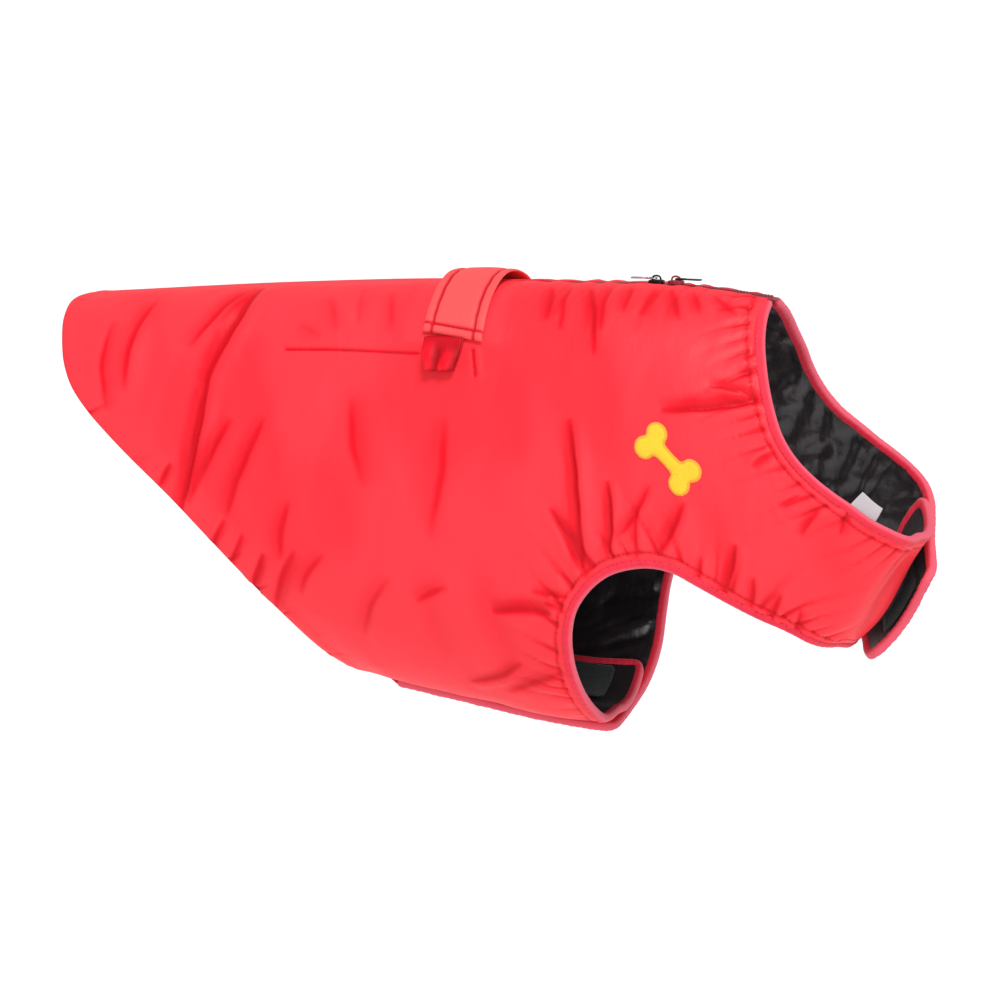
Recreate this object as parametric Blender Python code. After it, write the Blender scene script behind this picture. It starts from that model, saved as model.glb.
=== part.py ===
"""Padded dog jacket, size for a small dog, modelled as it is worn but hollow.

Two shell panels (right and left), each with its own lining, meet along the spine.
Each panel runs on below into a chest strap and a belly flap, which pass over the
middle line and close with hook and loop.  Edges at the neck, straps, armholes and
flaps are bound with elastic tape.  A zip with two sliders opens the back at the
neck, and a loop strap lies across the back behind it.

The origin is on the lining at the withers, +X runs to the head, +Y to the dog's
left and +Z up.  All sizes below are in millimetres; meshes are written in metres.
"""

import math

import bmesh
import bpy
import numpy as np
from mathutils.geometry import delaunay_2d_cdt

MM = 0.001

# --- The body of the jacket ----------------------------------------------------
# One row for each section, front to back.  "along" is the distance from the nape
# along the spine; top and low are the section's ends on the middle plane; wide_at
# is how far down it is widest; crown and keel are the curve exponents above and
# below that point (2 is an ellipse, less is more pointed).
SECTION_COLUMNS = (
    "along", "top_x", "top_z", "low_x", "low_z", "half_width", "wide_at", "crown", "keel")
SECTIONS = (
    (0.0, 60.0, 0.0, 146.0, -138.0, 66.0, 0.60, 1.40, 1.90),
    (43.0, 17.0, 4.0, 112.0, -190.0, 74.0, 0.62, 2.00, 1.90),
    (77.0, -17.0, 4.4, 45.0, -228.0, 79.0, 0.65, 2.40, 1.85),
    (110.0, -50.0, 4.0, -22.0, -240.0, 80.0, 0.66, 2.50, 1.85),
    (131.0, -71.0, 3.8, -45.0, -240.0, 80.0, 0.66, 2.50, 1.85),
    (193.0, -133.0, 2.9, -120.0, -230.0, 78.0, 0.64, 2.50, 1.90),
    (277.0, -217.0, -1.4, -205.0, -213.0, 74.0, 0.62, 2.40, 2.00),
    (404.0, -344.0, -11.0, -344.0, -165.0, 66.0, 0.60, 2.30, 2.00),
)

# --- Edges of the two panels -----------------------------------------------------
# Places on a panel are (along, round): round is 0 at the spine, 1 at the middle of
# the belly and more than 1 past it.
NECK_COLUMNS = ("round", "right_along", "left_along")
NECK_EDGE = (
    (0.00, 0.0, 0.0),
    (0.09, 5.0, 3.0),
    (0.19, 10.0, 10.0),
    (0.25, 12.5, 14.0),
    (0.30, 14.5, 18.0),
    (0.36, 16.5, 20.0),
    (0.42, 17.5, 18.0),
    (0.47, 16.0, 13.0),
    (0.53, 11.5, 7.5),
    (0.58, 7.0, 2.5),
    (0.63, 3.0, -1.5),
    (0.69, 0.0, -4.5),
    (0.75, -3.0, -4.5),
    (0.81, -5.2, -2.0),
    (0.90, -7.2, 1.0),
    (1.00, -8.0, 3.0),
    (1.25, -6.0, 9.0),
)
ARMHOLE_COLUMNS = ("right_along", "left_along", "round")
ARMHOLE_EDGE = (
    (46.0, 46.0, 1.00),
    (47.0, 47.0, 0.90),
    (49.0, 49.0, 0.83),
    (52.0, 52.0, 0.77),
    (57.5, 57.0, 0.71),
    (63.0, 62.0, 0.66),
    (68.5, 67.0, 0.62),
    (74.0, 72.0, 0.59),
    (80.0, 77.0, 0.575),
    (87.0, 83.0, 0.572),
    (94.0, 89.0, 0.58),
    (101.0, 96.0, 0.603),
    (106.5, 101.5, 0.635),
    (110.0, 104.5, 0.675),
    (112.0, 106.0, 0.72),
    (113.0, 107.0, 0.79),
    (112.5, 109.0, 0.86),
    (111.5, 112.0, 0.93),
    (110.5, 114.0, 1.00),
)
HEM_COLUMNS = ("round", "along")
HEM_EDGE = (
    (0.00, 406.0),
    (0.06, 410.0),
    (0.16, 408.0),
    (0.24, 403.0),
    (0.31, 397.5),
    (0.36, 391.0),
    (0.41, 380.0),
    (0.47, 362.0),
    (0.577, 324.0),
    (0.667, 296.0),
    (0.75, 274.0),
    (0.86, 255.0),
    (1.00, 236.0),
    (1.17, 216.0),
)
# Where the straps and flaps end, past the middle line (round), and their corners.
STRAP_END = {"right": 1.25, "left": 1.015}
FLAP_END = {"right": 1.17, "left": 1.035}
STRAP_TOP_CORNER = 9.0
STRAP_LOW_CORNER = 24.0
FLAP_FRONT_CORNER = 12.0
FLAP_REAR_CORNER = 6.0

# --- Cloth layers, as distances out from the form (minus is inwards) ---------------
SHELL_INNER = -2.2
LINING_OUTER = -2.5
LINING_INNER = -3.5
SEAM_GAP = 0.3
HEM_EASE = 9.0            # the binding's end is let into the hem over this length
PATCH_GAP = 1.1
INNER_EXTRA_INSET = 0.9   # the cloth's inner face stops this much shorter
TUCK_DEPTH = 7.4          # the right strap and flap lie this far inside the left ones
STRAP_TUCK = (0.80, 0.94)  # round, from where to where they go inside
FLAP_TUCK = (0.90, 0.985)
STRAP_FLARE = 6.0         # the left strap's free end stands off the body
STRAP_FLARE_START = 0.84
FLAP_FLARE = 3.0
FLAP_FLARE_START = 0.92

# --- Edge binding, zip and trims ---------------------------------------------------
BINDING_WIDTH = 5.4
BINDING_THICKNESS = 4.8
BINDING_CENTRE = -1.7
BINDING_SIDES = 6
ZIP_END = 133.0           # along the spine from the nape
ZIP_HALF_GAP = 3.6
ZIP_TAPE_HALF_WIDTH = 3.2
ZIP_TAPE_OUTER = -0.7
ZIP_TAPE_INNER = -2.0
BACK_STRAP_FRONT = 150.0  # along the spine
BACK_STRAP_WIDTH = 34.0
BACK_STRAP_REACH = 60.0   # down each side from the spine, at the rear edge
BACK_STRAP_SLANT = 5.5    # how much longer the front edge is
BACK_STRAP_THICKNESS = 1.5
BACK_STRAP_LIFT = 4.6
LOOP_ALONG = 171.0        # the cloth loop under the back strap's right end
LOOP_WIDTH = 21.0
LOOP_TOP = 64.6           # below the spine, round the side
LOOP_DROP = 18.0
LOOP_ROOT = 1.2
LOOP_RISE = 5.6
LOOP_THICKNESS = 1.2
HOOK_THICKNESS = 0.7
# Each closure: along from and to, then round on the left and on the right.
CLOSURES = {
    "strap": ((13.0, 37.0), (0.80, 0.965), (1.02, 1.185)),
    "flap": ((126.0, 205.0), (0.87, 1.0), (1.02, 1.135)),
}
LABEL_ROUND = (0.64, 0.725)
LABEL_HEIGHT = 14.0
LABEL_ROOT = 8.0
LABEL_OUT = -5.2
LABEL_LEAN = 7.0
LABEL_THICKNESS = 0.5
# Each slider: along, which way its pull lies, its own material and its pull's.
SLIDERS = {
    "rear": (67.5, -1.0, "dark_metal", "metal"),
    "front": (56.5, 1.0, "tape", "tape"),
}
SLIDER_LENGTH = 8.5
SLIDER_WIDTH = 6.4
SLIDER_TAIL = 4.4
SLIDER_HEIGHT = 2.6
BRIDGE_REACH = 2.9
BRIDGE_HEIGHT = 2.7
BRIDGE_WIRE = 1.0
PULL_THICKNESS = 0.9
PULL_LIFT = 0.3
PULL_BAR = 1.1
PULL_NECK = 4.4
PULL_SLOT = 2.0
PULL_EYE = 5.2
PULL_LENGTH = 14.5
PULL_WIDTH = 5.6

# --- Folds and gathers -----------------------------------------------------------
GATHER_LENGTH = 10.5      # from crest to crest along a bound edge
GATHER_HEIGHT = 0.95
GATHER_CHANNEL = 10.0     # from the cloth's edge to the stitch line
GATHER_REACH = 16.0       # how far the gathers run into the panel
ZIP_GATHER_LENGTH = 15.0
ZIP_GATHER_HEIGHT = 0.8
ZIP_GATHER_REACH = 24.0
FOLD_COLUMNS = ("from_along", "from_round", "to_along", "to_round", "depth", "width", "bow")
FOLDS = {
    "right": (
        (298.0, 0.07, 324.0, 0.58, 3.0, 8.0, 7.0),
        (358.0, 0.10, 357.0, 0.35, 1.3, 9.0, -3.0),
        (315.0, 0.13, 325.0, 0.32, 1.6, 6.0, 2.0),
        (291.0, 0.37, 318.0, 0.56, 1.4, 8.0, -4.0),
        (273.0, 0.36, 298.0, 0.56, 1.1, 8.0, -4.0),
        (247.0, 0.44, 262.0, 0.62, 0.9, 8.0, -3.0),
        (103.0, 0.31, 105.0, 0.46, 1.6, 6.0, 2.0),
        (88.0, 0.40, 92.0, 0.55, 1.6, 5.5, -2.0),
        (63.0, 0.33, 27.0, 0.33, 1.2, 6.0, 4.0),
        (112.0, 0.48, 101.0, 0.57, 2.0, 6.0, 1.0),
        (51.0, 0.56, 64.0, 0.65, 2.0, 5.5, -1.0),
        (36.0, 0.62, 44.0, 0.74, 1.2, 5.5, 1.0),
        (133.0, 0.56, 123.0, 0.68, 1.3, 7.0, 2.0),
        (140.0, 0.72, 126.0, 0.80, 1.2, 7.0, 1.0),
        (200.0, 0.60, 222.0, 0.74, 0.9, 9.0, -3.0),
    ),
    "left": (
        (305.0, 0.08, 322.0, 0.52, 2.6, 8.0, 5.0),
        (352.0, 0.12, 355.0, 0.36, 1.4, 9.0, -3.0),
        (286.0, 0.34, 310.0, 0.54, 1.3, 8.0, -4.0),
        (262.0, 0.40, 283.0, 0.58, 1.1, 8.0, 3.0),
        (100.0, 0.33, 99.0, 0.47, 1.6, 6.0, 2.0),
        (83.0, 0.41, 86.0, 0.55, 1.5, 5.5, -2.0),
        (60.0, 0.36, 28.0, 0.34, 1.2, 6.0, 4.0),
        (107.0, 0.49, 96.0, 0.57, 1.8, 6.0, 1.0),
        (50.0, 0.58, 61.0, 0.66, 1.8, 5.5, -1.0),
        (128.0, 0.57, 117.0, 0.68, 1.3, 7.0, 2.0),
        (205.0, 0.58, 224.0, 0.72, 0.9, 9.0, -3.0),
    ),
}
RIDGE_SHARE = 0.45        # how high a fold's two ridges stand, against its depth
MAX_DIP = 1.2             # the shell's wall stays at least a millimetre thick

# --- Mesh spacing ------------------------------------------------------------------
EDGE_STEP = 1.5
OUTER_STEP = 13.0
INNER_STEP = 19.0
LOOP_STEP = 9.0
PATCH_ROWS = 5
PATCH_COLUMNS = 7
INNER_LOOP_STEP = 13.0
FOLD_STEP = 9.0
BINDING_STEP = 7.5

SIDES = {"right": -1.0, "left": 1.0}

# --- Materials: colour, roughness, metallic ------------------------------------------
MATERIALS = {
    "shell": ((1.0, 0.06, 0.075), 0.5, 0.0),
    "binding": ((0.80, 0.08, 0.12), 0.7, 0.0),
    "lining": ((0.022, 0.02, 0.022), 0.4, 0.0),
    "facing": ((0.03, 0.05, 0.045), 0.8, 0.0),
    "hook": ((0.012, 0.012, 0.013), 0.9, 0.0),
    "tape": ((0.35, 0.03, 0.04), 0.7, 0.0),
    "metal": ((0.75, 0.74, 0.73), 0.25, 1.0),
    "dark_metal": ((0.08, 0.02, 0.025), 0.4, 0.6),
    "label": ((0.47, 0.44, 0.45), 0.6, 0.0),
}


# ------------------------------------------------------------------------------------
# Form: sections, and places on them
# ------------------------------------------------------------------------------------
def smooth_step(value):
    """0 below 0, 1 above 1, and a soft slope between."""
    v = np.clip(value, 0.0, 1.0)
    return v * v * (3.0 - 2.0 * v)


def smooth_curve(known, values, wanted):
    """A smooth curve through (known, values), straight outside them."""
    known = np.asarray(known, float)
    values = np.asarray(values, float)
    wanted = np.asarray(wanted, float)
    step = np.diff(known)
    rise = np.diff(values) / step
    slope = np.empty(len(known))
    slope[0] = rise[0]
    slope[-1] = rise[-1]
    slope[1:-1] = (rise[:-1] * step[1:] + rise[1:] * step[:-1]) / (step[1:] + step[:-1])
    i = np.clip(np.searchsorted(known, wanted) - 1, 0, len(known) - 2)
    u = (wanted - known[i]) / step[i]
    inside = (values[i] * (1 + 2 * u) * (1 - u) ** 2
              + values[i + 1] * u * u * (3 - 2 * u)
              + step[i] * (slope[i] * u * (1 - u) ** 2 + slope[i + 1] * u * u * (u - 1)))
    before = values[0] + slope[0] * (wanted - known[0])
    after = values[-1] + slope[-1] * (wanted - known[-1])
    return np.where(wanted < known[0], before, np.where(wanted > known[-1], after, inside))


def column(table, columns, name):
    return [row[columns.index(name)] for row in table]


def section_value(name, along):
    return smooth_curve(column(SECTIONS, SECTION_COLUMNS, "along"),
                        column(SECTIONS, SECTION_COLUMNS, name), along)


ANGLES = np.linspace(0.0, math.pi, 121)


def half_sections(along):
    """Each section's half outline: width, depth and length along it, by angle."""
    top = np.stack([section_value("top_x", along), section_value("top_z", along)], 1)
    low = np.stack([section_value("low_x", along), section_value("low_z", along)], 1)
    height = np.linalg.norm(low - top, axis=1)[:, None]
    half_width = section_value("half_width", along)[:, None]
    wide_at = section_value("wide_at", along)[:, None]
    crown = 2.0 / section_value("crown", along)[:, None]
    keel = 2.0 / section_value("keel", along)[:, None]
    sine = np.abs(np.sin(ANGLES))[None, :]
    cosine = np.abs(np.cos(ANGLES))[None, :]
    upper = (ANGLES <= math.pi / 2)[None, :]
    width = half_width * np.where(upper, sine ** crown, sine ** keel)
    down = np.where(upper, wide_at * (1 - cosine ** crown),
                    wide_at + (1 - wide_at) * cosine ** keel)
    step = np.hypot(np.diff(width, axis=1), np.diff(down * height, axis=1))
    length = np.concatenate([np.zeros((len(along), 1)), np.cumsum(step, axis=1)], 1)
    return top, low, width, down, length


def form_points(along, around, side):
    """Points of the form itself; around may pass 0 or 1 and goes on past it."""
    along = np.asarray(along, float)
    around = np.asarray(around, float)
    top, low, width, down, length = half_sections(along)
    folded = np.where(around < 0, -around, np.where(around > 1, 2 - around, around))
    turned = np.where((around < 0) | (around > 1), -side, side)
    wanted = folded * length[:, -1]
    below = np.sum(length <= wanted[:, None], axis=1) - 1
    i = np.clip(below, 0, len(ANGLES) - 2)
    row = np.arange(len(along))
    share = (wanted - length[row, i]) / (length[row, i + 1] - length[row, i])
    across = width[row, i] + share * (width[row, i + 1] - width[row, i])
    depth = down[row, i] + share * (down[row, i + 1] - down[row, i])
    x = top[:, 0] + depth * (low[:, 0] - top[:, 0])
    z = top[:, 1] + depth * (low[:, 1] - top[:, 1])
    return np.stack([x, turned * across, z], 1)


def half_girth(along):
    return half_sections(np.atleast_1d(np.asarray(along, float)))[4][:, -1]


def form_normals(along, around, side):
    """Outward directions, from small steps along and around the form."""
    probe = 1.5
    turn = 2.5 / half_girth(along)
    forward = form_points(along - probe, around, side) - form_points(along + probe, around, side)
    downward = form_points(along, around + turn, side) - form_points(along, around - turn, side)
    normal = side * np.cross(forward, downward)
    return normal / np.linalg.norm(normal, axis=1)[:, None]


def layer(panel, along, around):
    """How far a panel's strap and flap leave the form, minus inwards."""
    strap = 1.0 - smooth_step((along - 55.0) / 30.0)
    if panel == "right":
        strap_tuck = smooth_step((around - STRAP_TUCK[0]) / (STRAP_TUCK[1] - STRAP_TUCK[0]))
        flap_tuck = smooth_step((around - FLAP_TUCK[0]) / (FLAP_TUCK[1] - FLAP_TUCK[0]))
        return -TUCK_DEPTH * (strap * strap_tuck + (1.0 - strap) * flap_tuck)
    reach = STRAP_END["left"] - STRAP_FLARE_START
    strap_flare = STRAP_FLARE * smooth_step((around - STRAP_FLARE_START) / reach)
    flap_reach = FLAP_END["left"] - FLAP_FLARE_START
    flap_flare = FLAP_FLARE * smooth_step((around - FLAP_FLARE_START) / flap_reach)
    return strap * strap_flare + (1.0 - strap) * flap_flare


def place(panel, along, around, out):
    """Points on a panel, out from the form by its layer and by out."""
    side = SIDES[panel]
    offset = layer(panel, along, around) + out
    points = form_points(along, around, side)
    return points + form_normals(along, around, side) * offset[:, None]


# ------------------------------------------------------------------------------------
# Pattern: the form unrolled flat, section by section, as its cloth is cut
# ------------------------------------------------------------------------------------
def unroll(along, around):
    """Flat pattern place of points given as (along, around)."""
    top, low, _, _, length = half_sections(np.asarray(along, float))
    direction = (low - top) / np.linalg.norm(low - top, axis=1)[:, None]
    return top + direction * (np.asarray(around) * length[:, -1])[:, None]


GRID_ALONG = np.arange(-24.0, 437.0, 4.0)
GRID_AROUND = np.arange(-0.06, 1.40, 0.02)


def roll_up(flat):
    """The (along, around) of flat pattern points, by Newton steps from a grid."""
    grid_along, grid_around = np.meshgrid(GRID_ALONG, GRID_AROUND, indexing="ij")
    grid_along = grid_along.ravel()
    grid_around = grid_around.ravel()
    grid_flat = unroll(grid_along, grid_around)
    along = np.empty(len(flat))
    around = np.empty(len(flat))
    for i, point in enumerate(flat):
        nearest = np.argmin(np.sum((grid_flat - point) ** 2, axis=1))
        along[i] = grid_along[nearest]
        around[i] = grid_around[nearest]
    for _ in range(5):
        here = unroll(along, around)
        by_along = (unroll(along + 0.5, around) - here) / 0.5
        by_around = (unroll(along, around + 0.002) - here) / 0.002
        miss = flat - here
        area = by_along[:, 0] * by_around[:, 1] - by_along[:, 1] * by_around[:, 0]
        along = along + (miss[:, 0] * by_around[:, 1] - miss[:, 1] * by_around[:, 0]) / area
        around = around + (by_along[:, 0] * miss[:, 1] - by_along[:, 1] * miss[:, 0]) / area
    return along, around


def walk(points, step):
    """The same polyline with a point about every step."""
    lengths = np.concatenate([[0.0], np.cumsum(np.linalg.norm(np.diff(points, axis=0), axis=1))])
    count = max(2, int(round(lengths[-1] / step)) + 1)
    wanted = np.linspace(0.0, lengths[-1], count)
    return np.stack([np.interp(wanted, lengths, points[:, k]) for k in (0, 1)], 1)


def smooth_path(points, step):
    """A smooth flat curve through points, with a point about every step."""
    gaps = np.linalg.norm(np.diff(points, axis=0), axis=1)
    knots = np.concatenate([[0.0], np.cumsum(gaps)])
    fine = np.linspace(0.0, knots[-1], int(knots[-1] / step) * 2 + 2)
    curve = np.stack([smooth_curve(knots, points[:, k], fine) for k in (0, 1)], 1)
    return walk(curve, step)


def rounded(first, second, radius):
    """Two flat edges that meet, trimmed back and joined by a soft corner."""
    def trim(edge, from_end):
        seen = edge[::-1] if from_end else edge
        reach = np.linalg.norm(seen - seen[0], axis=1)
        start = int(np.argmax(reach > radius))
        kept = seen[start:]
        return kept[::-1] if from_end else kept
    corner = first[-1]
    first = trim(first, True)
    second = trim(second, False)
    share = np.linspace(0.0, 1.0, max(4, int(radius * 1.4 / EDGE_STEP)))[1:-1, None]
    bend = ((1 - share) ** 2 * first[-1] + 2 * share * (1 - share) * corner
            + share ** 2 * second[0])
    half = len(bend) // 2
    return np.concatenate([first, bend[:half]]), np.concatenate([bend[half:], second])


def pattern_edges(panel):
    """The panel's cut edges, flat, in order round it, as name and polyline."""
    end = STRAP_END[panel]
    flap = FLAP_END[panel]
    rounds = np.array(column(NECK_EDGE, NECK_COLUMNS, "round"))
    alongs = column(NECK_EDGE, NECK_COLUMNS, panel + "_along")
    spots = np.linspace(0.0, end, 90)
    neck = walk(unroll(smooth_curve(rounds, alongs, spots), spots), EDGE_STEP)

    lower = column(ARMHOLE_EDGE, ARMHOLE_COLUMNS, panel + "_along")
    lower_round = column(ARMHOLE_EDGE, ARMHOLE_COLUMNS, "round")
    lower = [lower[0]] + lower + [lower[-1]]
    lower_round = [end] + lower_round + [flap]
    armhole = smooth_path(unroll(lower, lower_round), EDGE_STEP)

    hem_rounds = column(HEM_EDGE, HEM_COLUMNS, "round")
    spots = np.linspace(flap, 0.0, 140)
    hem_along = smooth_curve(hem_rounds, column(HEM_EDGE, HEM_COLUMNS, "along"), spots)
    hem = walk(unroll(hem_along, spots), EDGE_STEP)
    strap_end = walk(np.array([neck[-1], armhole[0]]), EDGE_STEP)
    flap_end = walk(np.array([armhole[-1], hem[0]]), EDGE_STEP)
    spots = np.linspace(hem_along[-1], 0.0, 120)
    spine = walk(unroll(spots, np.zeros(len(spots))), EDGE_STEP)

    neck, strap_end = rounded(neck, strap_end, STRAP_TOP_CORNER)
    strap_end, armhole = rounded(strap_end, armhole, STRAP_LOW_CORNER)
    armhole, flap_end = rounded(armhole, flap_end, FLAP_FRONT_CORNER)
    flap_end, hem = rounded(flap_end, hem, FLAP_REAR_CORNER)
    return [("neck", neck), ("strap_end", strap_end), ("armhole", armhole),
            ("flap_end", flap_end), ("hem", hem), ("spine", spine)]


def edge_insets(edges):
    """How far the panel's cloth starts inside each stretch of the true edge."""
    bound = BINDING_WIDTH + SEAM_GAP
    insets = []
    for name, line in edges:
        if name == "hem":
            from_corner = np.arange(len(line)) * EDGE_STEP
            insets.append(bound * (1.0 - smooth_step(from_corner / HEM_EASE)))
        elif name == "spine":
            along, _ = roll_up(line)
            zipped = 1.0 - smooth_step((along - ZIP_END - 13.0) / 8.0)
            insets.append(SEAM_GAP / 2 + (ZIP_HALF_GAP - SEAM_GAP / 2) * zipped)
        else:
            insets.append(np.full(len(line), bound))
    return insets


def closed_outline(edges, insets):
    """One loop of flat points, each moved inwards by its stretch's inset."""
    points = []
    widths = []
    labels = []
    for (name, line), inset in zip(edges, insets):
        for point, width in zip(line, inset):
            if points and np.linalg.norm(points[-1] - point) < 0.2:
                continue
            points.append(point)
            widths.append(width)
            labels.append(name)
    if np.linalg.norm(points[0] - points[-1]) < 0.2:
        points.pop()
        widths.pop()
        labels.pop()
    points = np.array(points)
    widths = np.array(widths)
    ahead = np.roll(points, -1, axis=0) - points
    ahead /= np.linalg.norm(ahead, axis=1)[:, None]
    x, y = points.T
    turning = np.sum(x * np.roll(y, -1) - np.roll(x, -1) * y)
    inward_after = np.sign(turning) * np.stack([-ahead[:, 1], ahead[:, 0]], 1)
    inward_before = np.roll(inward_after, 1, axis=0)
    bend = np.sum(inward_after * inward_before, axis=1)
    moved = np.empty_like(points)
    for i in range(len(points)):
        if bend[i] > 0.8:
            mean = inward_after[i] + inward_before[i]
            mean /= np.linalg.norm(mean)
            moved[i] = points[i] + mean * widths[i]
        else:
            before = widths[i - 1]
            matrix = np.array([inward_before[i], inward_after[i]])
            moved[i] = points[i] + np.linalg.solve(matrix, [before, widths[i]])
    return moved, np.array(labels)


def inside(points, loop):
    """Which points lie within a closed flat loop."""
    x = points[:, 0][:, None]
    y = points[:, 1][:, None]
    ax, ay = loop.T
    bx, by = np.roll(loop, -1, axis=0).T
    crosses = (ay > y) != (by > y)
    with np.errstate(divide="ignore", invalid="ignore"):
        where = ax + (y - ay) * (bx - ax) / (by - ay)
    return np.sum(crosses & (x < where), axis=1) % 2 == 1


def nearest_on(line, points):
    """Distance to an open polyline, and the length along it, for each point."""
    start = line[:-1]
    run = line[1:] - start
    length = np.linalg.norm(run, axis=1)
    before = np.concatenate([[0.0], np.cumsum(length)])[:-1]
    best = np.full(len(points), 1e9)
    position = np.zeros(len(points))
    for i in range(len(start)):
        share = np.clip((points - start[i]) @ run[i] / length[i] ** 2, 0.0, 1.0)
        gap = np.linalg.norm(points - (start[i] + share[:, None] * run[i]), axis=1)
        nearer = gap < best
        best = np.where(nearer, gap, best)
        position = np.where(nearer, before[i] + share * length[i], position)
    return best, position


# ------------------------------------------------------------------------------------
# Relief: gathers on the elastic edges and the zip, and folds
# ------------------------------------------------------------------------------------
def gather_phase(position, wave):
    """Uneven waves: the crests come at irregular steps along the edge."""
    drift = 0.30 * np.sin(position / 17.0) + 0.22 * np.sin(position / 7.3 + 1.0)
    return position / wave + drift


def crest_positions(total, wave):
    """Lengths along an edge at every crest and hollow of its gathers."""
    fine = np.arange(0.0, total, 0.25)
    halves = np.floor(2.0 * np.maximum.accumulate(gather_phase(fine, wave)))
    return fine[1:][np.diff(halves) > 0]


def fold_line(row):
    """A fold's flat middle line."""
    fold = dict(zip(FOLD_COLUMNS, row))
    ends = unroll([fold["from_along"], fold["to_along"]], [fold["from_round"], fold["to_round"]])
    run = ends[1] - ends[0]
    across = np.array([-run[1], run[0]]) / np.linalg.norm(run)
    middle = ends.mean(axis=0) + across * fold["bow"]
    return smooth_path(np.array([ends[0], middle, ends[1]]), 3.0), fold


def relief(panel, flat, around, edges):
    """Height of a panel's outer face over the plain form at flat points."""
    named = dict(edges)
    height = np.zeros(len(flat))
    for name in ("neck", "armhole"):
        gap, position = nearest_on(named[name], flat)
        wave = np.cos(2 * math.pi * gather_phase(position, GATHER_LENGTH))
        rise = smooth_step((gap - 6.5) / 4.0)
        fade = np.exp(-np.maximum(gap - GATHER_CHANNEL, 0.0) / GATHER_REACH * 1.6)
        strength = 0.7 + 0.3 * np.sin(position / 23.0 + 2.0)
        height += GATHER_HEIGHT * strength * wave * rise * fade
        height -= 0.5 * np.exp(-((gap - GATHER_CHANNEL) / 2.5) ** 2)
    zip_line = named["spine"][-int(ZIP_END / EDGE_STEP):]
    gap, position = nearest_on(zip_line, flat)
    wave = np.cos(2 * math.pi * gather_phase(position, ZIP_GATHER_LENGTH))
    rise = smooth_step((gap - ZIP_HALF_GAP) / 5.0)
    height += ZIP_GATHER_HEIGHT * wave * rise * np.exp(-(gap / ZIP_GATHER_REACH) ** 2)
    for row in FOLDS[panel]:
        line, fold = fold_line(row)
        gap, position = nearest_on(line, flat)
        total = np.sum(np.linalg.norm(np.diff(line, axis=0), axis=1))
        taper = np.sin(np.clip(position / total, 0.0, 1.0) * math.pi) ** 0.5
        trough = np.exp(-(gap / (0.45 * fold["width"])) ** 2)
        ridge = np.exp(-((gap - fold["width"]) / (0.55 * fold["width"])) ** 2)
        height += fold["depth"] * taper * (RIDGE_SHARE * ridge - trough)
    if panel == "right":
        height *= 1.0 - smooth_step((around - 0.88) / 0.08)
    else:
        height *= 1.0 - 0.7 * smooth_step((around - 0.9) / 0.1)
    along = roll_up(flat)[0]
    near_strap = smooth_step((along - 138.0) / 8.0) * (1 - smooth_step((along - 192.0) / 8.0))
    from_spine = around * half_girth(along)
    height *= 1.0 - 0.85 * near_strap * (1 - smooth_step((from_spine - 66.0) / 8.0))
    return np.maximum(height, -MAX_DIP)


# ------------------------------------------------------------------------------------
# Meshes
# ------------------------------------------------------------------------------------
def keep_apart(points, wanted, gap):
    """Adds each wanted point that is at least gap from all kept so far."""
    kept = list(points)
    array = np.array(kept) if kept else np.zeros((0, 2))
    for point in wanted:
        if len(array) == 0 or np.min(np.sum((array - point) ** 2, axis=1)) >= gap * gap:
            kept.append(point)
            array = np.vstack([array, point])
    return kept


def triangulate(loop, interior):
    """Triangles over the flat loop and its interior points, as index triples."""
    points = np.concatenate([loop, interior]) if len(interior) else loop
    result = delaunay_2d_cdt([tuple(p) for p in points], [], [list(range(len(loop)))], 1, 1e-6)
    sources = [origin[0] for origin in result[3]]
    return points, [tuple(sources[i] for i in face) for face in result[2]]


def pick_loop(loop, labels, steps):
    """Indices of loop points to keep: about one each step, and every corner."""
    kept = [0]
    travelled = 0.0
    for i in range(1, len(loop)):
        travelled += np.linalg.norm(loop[i] - loop[i - 1])
        turn_a = loop[i] - loop[i - 1]
        turn_b = loop[(i + 1) % len(loop)] - loop[i]
        cosine = turn_a @ turn_b / (np.linalg.norm(turn_a) * np.linalg.norm(turn_b) + 1e-9)
        corner = cosine < 0.8
        if travelled > 1.2 and (corner or travelled >= steps[labels[i]]):
            kept.append(i)
            travelled = 0.0
    return kept


def hexagon_points(loop, step):
    """An even spread of points over the flat loop's box."""
    low = loop.min(axis=0)
    high = loop.max(axis=0)
    rows = []
    for k, z in enumerate(np.arange(low[1], high[1], step * 0.866)):
        xs = np.arange(low[0] + (k % 2) * step / 2, high[0], step)
        rows.append(np.stack([xs, np.full(len(xs), z)], 1))
    return np.concatenate(rows)


def bridge(outer_kept, inner_kept, inner_start, total):
    """Triangles between two loops; the inner one keeps some of the outer's points."""
    faces = []
    order = {index: k for k, index in enumerate(outer_kept)}
    for j, start in enumerate(inner_kept):
        finish = inner_kept[(j + 1) % len(inner_kept)]
        here = inner_start + j
        after = inner_start + (j + 1) % len(inner_kept)
        first = order[start]
        last = order[finish] if order[finish] > first else order[finish] + total
        middle = (first + last) // 2
        for k in range(first, last):
            inner = here if k < middle else after
            faces.append((k % total, (k + 1) % total, inner))
        faces.append((middle % total, after, here))
    return faces


def principled(name):
    """The named material from the MATERIALS table."""
    found = bpy.data.materials.get(name)
    if found:
        return found
    colour, roughness, metallic = MATERIALS[name]
    material = bpy.data.materials.new(name)
    material.use_nodes = True
    shader = material.node_tree.nodes["Principled BSDF"]
    shader.inputs["Base Color"].default_value = (*colour, 1.0)
    shader.inputs["Roughness"].default_value = roughness
    shader.inputs["Metallic"].default_value = metallic
    return material


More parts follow.
